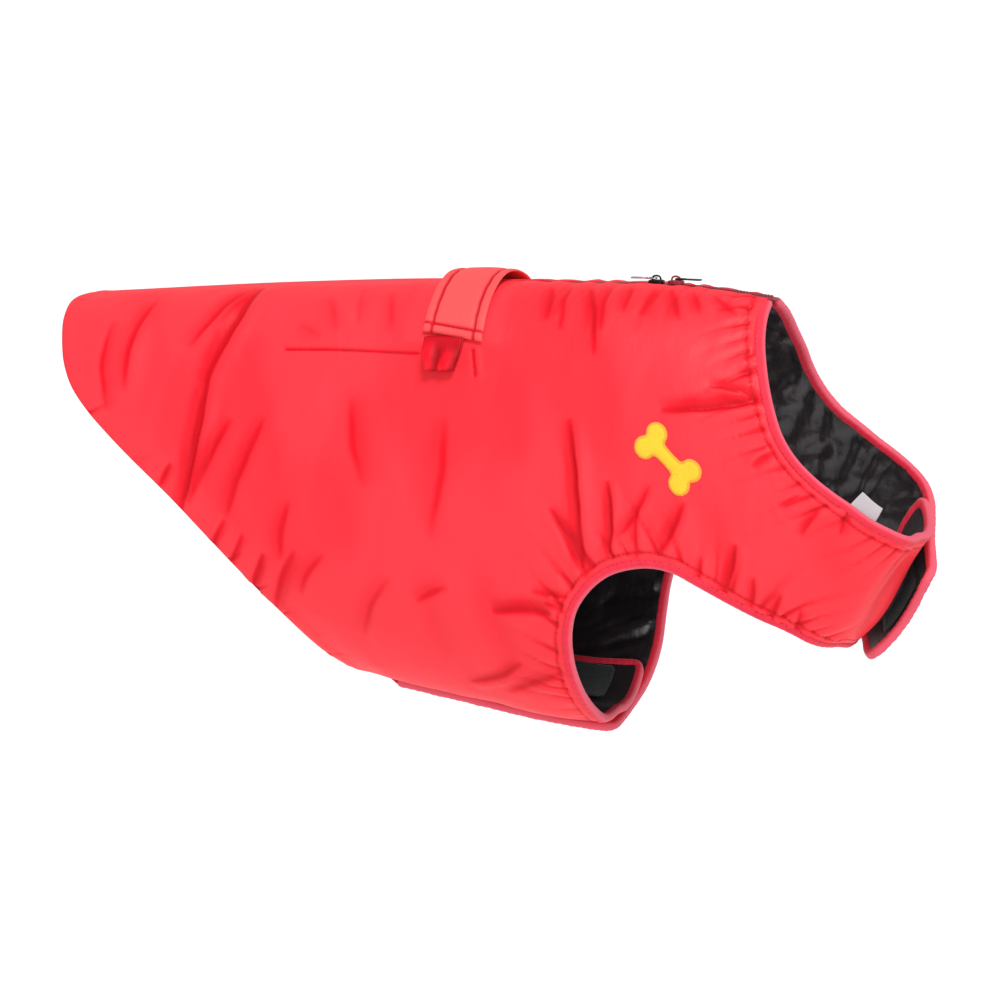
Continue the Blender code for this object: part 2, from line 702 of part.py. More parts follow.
def solid(name, points, faces, material, smooth=True):
    """A closed mesh object from points in millimetres."""
    mesh = bpy.data.meshes.new(name)
    mesh.from_pydata([tuple(p * MM) for p in np.asarray(points)], [], faces)
    work = bmesh.new()
    work.from_mesh(mesh)
    bmesh.ops.recalc_face_normals(work, faces=work.faces)
    work.to_mesh(mesh)
    work.free()
    mesh.materials.append(principled(material))
    if smooth:
        mesh.shade_smooth()
    made = bpy.data.objects.new(name, mesh)
    bpy.context.scene.collection.objects.link(made)
    return made


def gather_points(edges, loop):
    """Flat points on the crests and hollows of the gathers, in rows."""
    named = dict(edges)
    centre = loop.mean(axis=0)
    spread = []
    lines = (("neck", GATHER_LENGTH, (9.5, 13.5, 21.0)),
             ("armhole", GATHER_LENGTH, (9.5, 13.5, 21.0)),
             ("spine", ZIP_GATHER_LENGTH, (9.0, 17.0, 27.0)))
    for name, wave, rows in lines:
        line = named[name] if name != "spine" else named[name][-int(ZIP_END / EDGE_STEP):]
        total = np.sum(np.linalg.norm(np.diff(line, axis=0), axis=1))
        lengths = np.concatenate([[0], np.cumsum(np.linalg.norm(np.diff(line, axis=0), axis=1))])
        spots = crest_positions(total, wave)
        here = np.stack([np.interp(spots, lengths, line[:, k]) for k in (0, 1)], 1)
        ahead = np.stack([np.interp(spots + 2, lengths, line[:, k]) for k in (0, 1)], 1)
        behind = np.stack([np.interp(spots - 2, lengths, line[:, k]) for k in (0, 1)], 1)
        run = ahead - behind
        across = np.stack([-run[:, 1], run[:, 0]], 1) / np.linalg.norm(run, axis=1)[:, None]
        trial = here + across * 9.0
        if np.mean(inside(trial, loop)) < 0.5:
            across = -across
        for row in rows:
            spread.append(here + across * row)
    spread = np.concatenate(spread)
    order = np.argsort(np.linalg.norm(spread - centre, axis=1), kind="stable")[::-1]
    return spread[order]


def fold_points(panel):
    """Flat points along each fold's trough and its two ridges."""
    spread = []
    for row in FOLDS[panel]:
        line, fold = fold_line(row)
        line = walk(line, FOLD_STEP)
        run = np.gradient(line, axis=0)
        across = np.stack([-run[:, 1], run[:, 0]], 1) / np.linalg.norm(run, axis=1)[:, None]
        spread.append(line)
        spread.append(line + across * fold["width"])
        spread.append(line - across * fold["width"])
    return np.concatenate(spread)


def panel_meshes(panel):
    """One side's shell and lining."""
    edges = pattern_edges(panel)
    loop, labels = closed_outline(edges, edge_insets(edges))
    steps = {"neck": 6.0, "armhole": 6.0, "strap_end": LOOP_STEP, "flap_end": LOOP_STEP,
             "hem": LOOP_STEP, "spine": LOOP_STEP}
    outer_kept = pick_loop(loop, labels, steps)
    inner_kept = [outer_kept[0]]
    travelled = 0.0
    for before, i in zip(outer_kept, outer_kept[1:]):
        travelled += np.linalg.norm(loop[i] - loop[before])
        sharp = labels[i] != labels[before]
        if travelled >= INNER_LOOP_STEP or sharp:
            inner_kept.append(i)
            travelled = 0.0
    outer_loop = loop[outer_kept]
    deeper = [inset + INNER_EXTRA_INSET * (name not in ("hem", "spine"))
              for (name, _), inset in zip(edges, edge_insets(edges))]
    inner_loop = closed_outline(edges, deeper)[0][inner_kept]

    spread = keep_apart(outer_loop, gather_points(edges, loop), 3.6)
    spread = keep_apart(spread, fold_points(panel), 4.5)
    spread = keep_apart(spread, hexagon_points(loop, OUTER_STEP), OUTER_STEP * 0.72)
    interior = np.array(spread[len(outer_loop):])
    interior = interior[inside(interior, outer_loop)]
    clear, _ = nearest_on(np.vstack([outer_loop, outer_loop[:1]]), interior)
    interior = interior[clear > 2.2]
    outer_flat, outer_faces = triangulate(outer_loop, interior)

    spread = keep_apart(inner_loop, closure_grid(panel), 4.0)
    spread = keep_apart(spread, hexagon_points(loop, INNER_STEP), INNER_STEP * 0.7)
    interior = np.array(spread[len(inner_loop):])
    interior = interior[inside(interior, inner_loop)]
    inner_flat, inner_faces = triangulate(inner_loop, interior)

    along, around = roll_up(outer_flat)
    raised = relief(panel, outer_flat, around, edges)
    outer = place(panel, along, around, raised)
    along, around = roll_up(inner_flat)
    level = np.zeros(len(inner_flat))
    inner = place(panel, along, around, level + SHELL_INNER)
    start = len(outer)
    faces = list(outer_faces)
    faces += [tuple(start + i for i in reversed(face)) for face in inner_faces]
    faces += bridge(outer_kept, inner_kept, start, len(outer_kept))
    solid(panel + "_shell", np.concatenate([outer, inner]), faces, "shell")

    lining_outer = place(panel, along, around, level + LINING_OUTER)
    lining_inner = place(panel, along, around, level + LINING_INNER)
    count = len(inner_flat)
    rim = len(inner_kept)
    faces = list(inner_faces)
    faces += [tuple(count + i for i in reversed(face)) for face in inner_faces]
    for i in range(rim):
        j = (i + 1) % rim
        faces.append((i, j, count + j, count + i))
    solid(panel + "_lining", np.concatenate([lining_outer, lining_inner]), faces, "lining")
    return edges


def binding(panel, edges):
    """The elastic tape round the neck, strap, armhole and flap edges."""
    named = dict(edges)
    line = np.concatenate([named[k] for k in ("neck", "strap_end", "armhole", "flap_end")])
    gaps = np.linalg.norm(np.diff(line, axis=0), axis=1)
    line = line[np.concatenate([[True], gaps > 0.2])]
    run = np.gradient(line, axis=0)
    run /= np.linalg.norm(run, axis=1)[:, None]
    turning = np.abs(run[1:, 0] * run[:-1, 1] - run[1:, 1] * run[:-1, 0])
    gaps = np.linalg.norm(np.diff(line, axis=0), axis=1)
    effort = np.concatenate([[0.0], np.cumsum(gaps / BINDING_STEP + turning * 4.0)])
    first = np.interp(ZIP_HALF_GAP + 1.2, np.cumsum(gaps), effort[1:])
    wanted = np.linspace(first, effort[-1] - 0.6, int(effort[-1]))
    lengths = np.concatenate([[0.0], np.cumsum(gaps)])
    spots = np.interp(wanted, effort, lengths)

    def at(positions):
        return np.stack([np.interp(positions, lengths, line[:, k]) for k in (0, 1)], 1)
    run = at(spots + 1.0) - at(spots - 1.0)
    across = np.stack([-run[:, 1], run[:, 0]], 1) / np.linalg.norm(run, axis=1)[:, None]
    loop, _ = closed_outline(edges, [np.zeros(len(part)) for _, part in edges])
    if np.mean(inside(at(spots) + across, loop)) < 0.5:
        across = -across
    rings = []
    for k in range(BINDING_SIDES):
        angle = 2 * math.pi * (k + 0.5) / BINDING_SIDES
        sideways = BINDING_WIDTH / 2 * (1.0 + math.cos(angle))
        out = BINDING_CENTRE + BINDING_THICKNESS / 2 * math.sin(angle)
        along, around = roll_up(at(spots) + across * sideways)
        rings.append(place(panel, along, around, np.full(len(spots), out)))
    tube(panel + "_binding", np.stack(rings, 1), "binding")


def tube(name, rings, material, smooth=True):
    """A closed solid from rings of points, capped at both ends."""
    stations, sides, _ = rings.shape
    faces = []
    for i in range(stations - 1):
        for k in range(sides):
            a = i * sides + k
            b = i * sides + (k + 1) % sides
            faces.append((a, b, b + sides, a + sides))
    faces.append(tuple(range(sides)))
    faces.append(tuple((stations - 1) * sides + k for k in range(sides)))
    return solid(name, rings.reshape(-1, 3), faces, material, smooth)


def slab(name, bottom, top, material):
    """A closed sheet from two equal grids of points."""
    rows, cols, _ = bottom.shape
    count = rows * cols
    faces = []
    for i in range(rows - 1):
        for j in range(cols - 1):
            a = i * cols + j
            quad = (a, a + 1, a + cols + 1, a + cols)
            faces.append(quad)
            faces.append(tuple(count + k for k in reversed(quad)))
    rim = [j for j in range(cols)]
    rim += [i * cols + cols - 1 for i in range(1, rows)]
    rim += [(rows - 1) * cols + j for j in range(cols - 2, -1, -1)]
    rim += [i * cols for i in range(rows - 2, 0, -1)]
    for i, a in enumerate(rim):
        b = rim[(i + 1) % len(rim)]
        faces.append((b, a, count + a, count + b))
    points = np.concatenate([bottom.reshape(-1, 3), top.reshape(-1, 3)])
    return solid(name, points, faces, material)


def patch_grid(along_range, round_range):
    """The (along, around) places of a patch's points."""
    alongs = np.linspace(*along_range, PATCH_ROWS)
    arounds = np.linspace(*round_range, PATCH_COLUMNS)
    grid_along, grid_around = np.meshgrid(alongs, arounds, indexing="ij")
    return grid_along.ravel(), grid_around.ravel()


def closure_grid(panel):
    """Flat points of the panel's closure patches, which its lining shares."""
    spread = []
    for along, left_round, right_round in CLOSURES.values():
        here = right_round if panel == "right" else left_round
        spread.append(unroll(*patch_grid(along, here)))
    return np.concatenate(spread)


def patch(name, panel, along_range, round_range, out_low, out_high, material):
    """A thin sheet lying along a panel at a given height over it."""
    along, around = patch_grid(along_range, round_range)
    shape = (PATCH_ROWS, PATCH_COLUMNS, 3)
    low = place(panel, along, around, np.full(len(along), out_low)).reshape(shape)
    high = place(panel, along, around, np.full(len(along), out_high)).reshape(shape)
    slab(name, low, high, material)


def spine_points(alongs, across, out):
    """Points over the spine: across is minus on the right and plus on the left."""
    alongs = np.asarray(alongs, float)
    around = np.abs(across) / half_girth(alongs)
    right = form_points(alongs, around, -1.0)
    right += form_normals(alongs, around, -1.0) * np.asarray(out)[:, None]
    left = form_points(alongs, around, 1.0)
    left += form_normals(alongs, around, 1.0) * np.asarray(out)[:, None]
    return np.where((np.asarray(across) < 0)[:, None], right, left)


def zip_tape():
    alongs = np.concatenate([[-0.5], np.arange(8.0, ZIP_END - 4.0, 8.0), [ZIP_END - 1.0]])
    half = ZIP_TAPE_HALF_WIDTH
    profile = ((-half, ZIP_TAPE_INNER), (half, ZIP_TAPE_INNER),
               (half, ZIP_TAPE_OUTER), (-half, ZIP_TAPE_OUTER))
    rings = [spine_points(alongs, np.full(len(alongs), across), np.full(len(alongs), out))
             for across, out in profile]
    tube("zip_tape", np.stack(rings, 1), "tape", smooth=False)


def back_strap():
    """The loop strap across the back, sewn down at its two ends."""
    alongs = np.linspace(BACK_STRAP_FRONT, BACK_STRAP_FRONT + BACK_STRAP_WIDTH, 5)
    acrosses = np.linspace(-BACK_STRAP_REACH, BACK_STRAP_REACH, 19)
    grid_along, grid_across = np.meshgrid(alongs, acrosses, indexing="ij")
    rearward = (grid_along - BACK_STRAP_FRONT) / BACK_STRAP_WIDTH
    grid_across *= 1.0 + BACK_STRAP_SLANT / BACK_STRAP_REACH * (1.0 - rearward)
    lift = 0.9 + (BACK_STRAP_LIFT - 0.9) * np.exp(-(grid_across / 26.0) ** 2)
    shape = (*grid_along.shape, 3)
    low = spine_points(grid_along.ravel(), grid_across.ravel(), lift.ravel())
    high = spine_points(grid_along.ravel(), grid_across.ravel(),
                        lift.ravel() + BACK_STRAP_THICKNESS)
    slab("back_strap", low.reshape(shape), high.reshape(shape), "shell")


def gather_loop():
    """The folded cloth loop that hangs below the back strap's right end."""
    alongs = np.linspace(LOOP_ALONG - LOOP_WIDTH / 2, LOOP_ALONG + LOOP_WIDTH / 2, 5)
    turns = np.linspace(0.0, 1.0, 15)
    drop = LOOP_TOP + LOOP_DROP * np.sin(turns * math.pi * 0.82)
    rise = LOOP_ROOT + (LOOP_RISE - LOOP_ROOT) * smooth_step(turns)
    drop_slope = np.gradient(drop)
    rise_slope = np.gradient(rise)
    size = np.hypot(drop_slope, rise_slope)
    sides = []
    for away in (-LOOP_THICKNESS / 2, LOOP_THICKNESS / 2):
        down = drop - away * rise_slope / size
        out = rise + away * drop_slope / size
        grid_along, grid_down = np.meshgrid(alongs, down, indexing="ij")
        grid_out = np.meshgrid(alongs, out, indexing="ij")[1]
        squeeze = 1.0 - 0.22 * (grid_down - LOOP_TOP) / LOOP_DROP
        narrowed = LOOP_ALONG + (grid_along - LOOP_ALONG) * squeeze
        made = spine_points(narrowed.ravel(), -grid_down.ravel(), grid_out.ravel())
        sides.append(made.reshape(*grid_along.shape, 3))
    slab("gathered_loop", sides[0], sides[1], "shell")


def closure_patches():
    """Hook and loop on the straps and flaps, and the facings behind the right ones."""
    for name, (along, left_round, right_round) in CLOSURES.items():
        inner = LINING_INNER - PATCH_GAP
        patch("left_" + name + "_hook", "left", along, left_round,
              inner - HOOK_THICKNESS, inner, "hook")
        patch("right_" + name + "_pile", "right", along, right_round,
              SEAM_GAP, SEAM_GAP + HOOK_THICKNESS, "hook")
        patch("right_" + name + "_facing", "right", along, right_round,
              inner - HOOK_THICKNESS, inner, "facing")


def label():
    """A small blank label, sewn in behind the right neck edge and standing clear."""
    arounds = np.linspace(*LABEL_ROUND, 5)
    rings = []
    for lean, width in ((0.0, 0.0), (LABEL_LEAN, LABEL_HEIGHT)):
        alongs = smooth_curve(column(NECK_EDGE, NECK_COLUMNS, "round"),
                              column(NECK_EDGE, NECK_COLUMNS, "right_along"), arounds)
        out = np.full(5, LABEL_OUT - lean)
        rings.append(place("right", alongs + LABEL_ROOT - width, arounds, out))
    low = np.stack(rings)
    normal = np.cross(low[1, 2] - low[0, 2], low[0, 3] - low[0, 1])
    normal /= np.linalg.norm(normal)
    slab("label", low, low + normal * LABEL_THICKNESS, "label")


def slider(name, along, material):
    """A zip slider: a tapered body with an arched bridge over it for the pull."""
    base = ZIP_TAPE_OUTER + SEAM_GAP
    top = base + SLIDER_HEIGHT
    points = []
    for x, half in ((-SLIDER_LENGTH / 2, SLIDER_TAIL / 2), (0.0, SLIDER_WIDTH / 2),
                    (SLIDER_LENGTH / 2, SLIDER_WIDTH / 2)):
        for z, share in ((base, 1.0), (base + 0.7 * SLIDER_HEIGHT, 1.0), (top, 0.78)):
            points.append((x, -half * share, z))
            points.append((x, half * share, z))
    faces = []
    ring = (0, 1, 3, 5, 4, 2)
    for step in (0, 6):
        for a, b in zip(ring, ring[1:] + ring[:1]):
            faces.append((step + a, step + b, step + b + 6, step + a + 6))
    faces.append(tuple(reversed(ring)))
    faces.append(tuple(k + 12 for k in ring))
    body = solid(name, points, faces, material, smooth=False)
    bridge_points = []
    for reach, height in ((BRIDGE_REACH, BRIDGE_HEIGHT),
                          (BRIDGE_REACH - BRIDGE_WIRE, BRIDGE_HEIGHT - BRIDGE_WIRE)):
        for x, z in ((-reach, -0.5), (-reach, height * 0.65), (-reach * 0.6, height),
                     (reach * 0.6, height), (reach, height * 0.65), (reach, -0.5)):
            for y in (-BRIDGE_WIRE / 2, BRIDGE_WIRE / 2):
                bridge_points.append((x, y, top + z))
    faces = []
    for k in range(5):
        a = 2 * k
        faces.append((a, a + 1, a + 3, a + 2))
        faces.append((a + 12, a + 14, a + 15, a + 13))
        faces.append((a, a + 2, a + 14, a + 12))
        faces.append((a + 1, a + 13, a + 15, a + 3))
    faces.append((0, 12, 13, 1))
    faces.append((10, 11, 23, 22))
    arch = solid(name + "_bridge", bridge_points, faces, material, smooth=False)
    arch.hide_render = True
    arch.display_type = "WIRE"
    joined = body.modifiers.new("bridge", "BOOLEAN")
    joined.operation = "UNION"
    joined.solver = "EXACT"
    joined.object = arch
    x, z, slope = spine_frame(along)
    for made in (body, arch):
        made.location = (x * MM, 0.0, z * MM)
        made.rotation_euler = (0.0, slope, 0.0)


def spine_frame(along):
    """The spine's x, z and pitch at a distance from the nape."""
    here = form_points([along - 4.0, along, along + 4.0], [0.0] * 3, 1.0)
    slope = math.atan2(here[2, 2] - here[0, 2], here[0, 0] - here[2, 0])
    return here[1, 0], here[1, 2], slope


def pull(name, along, way, material):
    """A flat pull tab through the slider's bridge, lying along the zip."""
    hinge = ZIP_TAPE_OUTER + SEAM_GAP + SLIDER_HEIGHT + PULL_THICKNESS / 2 + PULL_LIFT
    bar = PULL_BAR / 2
    outer = [(-bar, PULL_NECK / 2), (PULL_EYE + 1.0, PULL_NECK / 2),
             (PULL_LENGTH - 1.5, PULL_WIDTH / 2), (PULL_LENGTH, PULL_WIDTH / 2 - 1.5)]
    outer += [(x, -y) for x, y in reversed(outer)]
    inner = [(bar, PULL_SLOT / 2), (PULL_EYE * 0.5, PULL_SLOT / 2),
             (PULL_EYE * 0.8, PULL_SLOT / 2), (PULL_EYE, PULL_SLOT / 2 - 0.2)]
    inner += [(x, -y) for x, y in reversed(inner)]
    points = []
    for z in (-PULL_THICKNESS / 2, PULL_THICKNESS / 2):
        points += [(way * x, y, z) for x, y in outer + inner]
    count = len(outer)
    faces = []
    for i in range(count):
        j = (i + 1) % count
        faces.append((i, j, count + j, count + i))
        faces.append((2 * count + i, 3 * count + i, 3 * count + j, 2 * count + j))
        faces.append((j, i, 2 * count + i, 2 * count + j))
        faces.append((count + i, count + j, 3 * count + j, 3 * count + i))
    made = solid(name, points, faces, material, smooth=False)
    x, z, slope = spine_frame(along)
    made.location = ((x + hinge * math.sin(slope)) * MM, 0.0, (z + hinge * math.cos(slope)) * MM)
    made.rotation_euler = (0.0, slope, 0.0)


def main():
    for old in list(bpy.data.objects):
        bpy.data.objects.remove(old)
    for panel in SIDES:
        edges = panel_meshes(panel)
        binding(panel, edges)
    closure_patches()
    label()
    zip_tape()
    for name, (along, way, slider_material, pull_material) in SLIDERS.items():
        slider(name + "_slider", along, slider_material)
        pull(name + "_pull", along, way, pull_material)
    back_strap()
    gather_loop()


main()
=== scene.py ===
"""The look of a padded dog jacket: cloth, trims, sewing and stage, round its solids.

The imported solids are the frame.  Each cloth piece is made again here from the same
sizes, on the same form, with finer gathers, folds and edges, and stands for its
solid.  Sizes in the tables are millimetres, and meshes are written in metres.
"""

import math

import bmesh
import bpy
import numpy as np
from bpy.props import FloatProperty, PointerProperty, StringProperty
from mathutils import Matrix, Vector
from mathutils.geometry import delaunay_2d_cdt
from mathutils.kdtree import KDTree


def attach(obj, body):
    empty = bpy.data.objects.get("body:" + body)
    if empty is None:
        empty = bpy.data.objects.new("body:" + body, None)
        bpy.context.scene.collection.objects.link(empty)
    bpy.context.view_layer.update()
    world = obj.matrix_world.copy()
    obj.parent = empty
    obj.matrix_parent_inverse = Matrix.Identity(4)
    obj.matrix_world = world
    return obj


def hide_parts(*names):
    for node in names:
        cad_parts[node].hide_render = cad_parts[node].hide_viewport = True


bl_info = {
    "name": "Padded Dog Jacket",
    "version": (1, 0, 0),
    "blender": (4, 5, 0),
    "location": "3D View > Sidebar > Dog Jacket",
    "description": "Builds the cloth, trims, sewing and stage of a padded dog jacket",
    "category": "Object",
}

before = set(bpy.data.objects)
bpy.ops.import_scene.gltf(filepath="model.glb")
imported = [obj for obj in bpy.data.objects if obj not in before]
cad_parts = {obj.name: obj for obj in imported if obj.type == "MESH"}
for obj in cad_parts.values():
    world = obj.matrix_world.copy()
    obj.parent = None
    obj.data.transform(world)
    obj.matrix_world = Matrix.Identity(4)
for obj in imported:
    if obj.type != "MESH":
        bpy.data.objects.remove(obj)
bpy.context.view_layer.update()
MM = 0.001

# --- The body of the jacket: one row a section, front to back
SECTION_COLUMNS = (
    "along", "top_x", "top_z", "low_x", "low_z", "half_width", "wide_at", "crown", "keel")
SECTIONS = (
    (0.0, 60.0, 0.0, 146.0, -138.0, 66.0, 0.60, 1.40, 1.90),
    (43.0, 17.0, 4.0, 112.0, -190.0, 74.0, 0.62, 2.00, 1.90),
    (77.0, -17.0, 4.4, 45.0, -228.0, 79.0, 0.65, 2.40, 1.85),
    (110.0, -50.0, 4.0, -22.0, -240.0, 80.0, 0.66, 2.50, 1.85),
    (131.0, -71.0, 3.8, -45.0, -240.0, 80.0, 0.66, 2.50, 1.85),
    (193.0, -133.0, 2.9, -120.0, -230.0, 78.0, 0.64, 2.50, 1.90),
    (277.0, -217.0, -1.4, -205.0, -213.0, 74.0, 0.62, 2.40, 2.00),
    (404.0, -344.0, -11.0, -344.0, -165.0, 66.0, 0.60, 2.30, 2.00),
)

# --- Edges of the panels: round is 0 at the spine and 1 at the middle of the belly
NECK_COLUMNS = ("round", "right_along", "left_along")
NECK_EDGE = (
    (0.00, 0.0, 0.0), (0.09, 5.0, 3.0), (0.19, 10.0, 10.0), (0.25, 12.5, 14.0),
    (0.30, 14.5, 18.0), (0.36, 16.5, 20.0), (0.42, 17.5, 18.0), (0.47, 16.0, 13.0),
    (0.53, 11.5, 7.5), (0.58, 7.0, 2.5), (0.63, 3.0, -1.5), (0.69, 0.0, -4.5),
    (0.75, -3.0, -4.5), (0.81, -5.2, -2.0), (0.90, -7.2, 1.0), (1.00, -8.0, 3.0),
    (1.25, -6.0, 9.0),
)
ARMHOLE_COLUMNS = ("right_along", "left_along", "round")
ARMHOLE_EDGE = (
    (46.0, 46.0, 1.00), (47.0, 47.0, 0.90), (49.0, 49.0, 0.83), (52.0, 52.0, 0.77),
    (57.5, 57.0, 0.71), (63.0, 62.0, 0.66), (68.5, 67.0, 0.62), (74.0, 72.0, 0.59),
    (80.0, 77.0, 0.575), (87.0, 83.0, 0.572), (94.0, 89.0, 0.58), (101.0, 96.0, 0.603),
    (106.5, 101.5, 0.635), (110.0, 104.5, 0.675), (112.0, 106.0, 0.72), (113.0, 107.0, 0.79),
    (112.5, 109.0, 0.86), (111.5, 112.0, 0.93), (110.5, 114.0, 1.00),
)
HEM_COLUMNS = ("round", "along")
HEM_EDGE = (
    (0.00, 406.0), (0.06, 410.0), (0.16, 408.0), (0.24, 403.0), (0.31, 397.5),
    (0.36, 391.0), (0.41, 380.0), (0.47, 362.0), (0.577, 324.0), (0.667, 296.0),
    (0.75, 274.0), (0.86, 255.0), (1.00, 236.0), (1.17, 216.0),
)
STRAP_END = {"right": 1.25, "left": 1.015}
FLAP_END = {"right": 1.17, "left": 1.035}
STRAP_TOP_CORNER = 9.0
STRAP_LOW_CORNER = 24.0
FLAP_FRONT_CORNER = 12.0
FLAP_REAR_CORNER = 6.0

# --- Cloth layers, as distances out from the form (minus is inwards)
SHELL_INNER = -2.2
LINING_OUTER = -2.5
LINING_INNER = -3.5
SEAM_GAP = 0.3
HEM_EASE = 9.0
PATCH_GAP = 1.1
TUCK_DEPTH = 7.4
STRAP_TUCK = (0.80, 0.94)
FLAP_TUCK = (0.90, 0.985)
STRAP_FLARE = 6.0
STRAP_FLARE_START = 0.84
FLAP_FLARE = 3.0
FLAP_FLARE_START = 0.92
EDGE_TUCK = 2.4           # bound cloth ends this far inside the true edge, in its tape

# --- Trims
BINDING_WIDTH = 5.7
BINDING_THICKNESS = 5.0
BINDING_CENTRE = -1.7
ZIP_END = 133.0
ZIP_TAIL = 13.0           # how far the tape runs on behind the zip's end
ZIP_HALF_GAP = 3.6
ZIP_TAPE_HALF_WIDTH = 3.2
ZIP_TAPE_OUTER = -0.7
ZIP_TAPE_INNER = -2.0
TOOTH_PITCH = 1.7
TOOTH_RADIUS = 0.52
BACK_STRAP_FRONT = 150.0
BACK_STRAP_WIDTH = 34.0
BACK_STRAP_REACH = 60.0   # at its rear edge
BACK_STRAP_SLANT = 5.5    # how much longer its front edge is
BACK_STRAP_THICKNESS = 1.5
BACK_STRAP_LIFT = 4.6
STRAP_ROWS = (5.2, 5.4)   # how far its sewing lies in from its edges and from its ends
LOOP_ALONG = 171.0
LOOP_WIDTH = 21.0
LOOP_TOP = 64.6
LOOP_DROP = 18.0
LOOP_ROOT = 1.2
LOOP_RISE = 5.6
HOOK_THICKNESS = 0.7
PATCH_CORNER = 3.5
CLOSURES = {
    "strap": ((13.0, 37.0), (0.80, 0.965), (1.02, 1.185)),
    "flap": ((126.0, 205.0), (0.87, 1.0), (1.02, 1.135)),
}
LABEL_ROUND = (0.64, 0.725)
LABEL_HEIGHT = 14.0
LABEL_ROOT = 8.0
LABEL_OUT = -5.2
LABEL_LEAN = 7.0
LABEL_THICKNESS = 0.4
SLIDERS = {"rear": (67.5, -1.0, "slider_black", "pull_metal"),
           "front": (56.5, 1.0, "slider_red", "slider_black")}
SLIDER_LENGTH = 8.5
SLIDER_WIDTH = 6.4
SLIDER_TAIL = 4.4
SLIDER_HEIGHT = 2.6
BRIDGE_REACH = 2.9
BRIDGE_HEIGHT = 2.7
BRIDGE_RADIUS = 0.52
PULL_THICKNESS = 0.9
PULL_LIFT = 0.3
PULL_NECK = 4.4
PULL_EYE = 5.2
PULL_LENGTH = 14.5
PULL_WIDTH = 5.6

# --- Gathers and folds
GATHER_LENGTH = 10.5
GATHER_CHANNEL = 8.8      # how far the gathering row lies in from its edge
CASING_EDGE = 5.0         # where the padded casing under the gathers starts
LINING_GATHER_LENGTH = 17.0
ZIP_GATHER_LENGTH = 15.0
ZIP_GATHER_REACH = 30.0
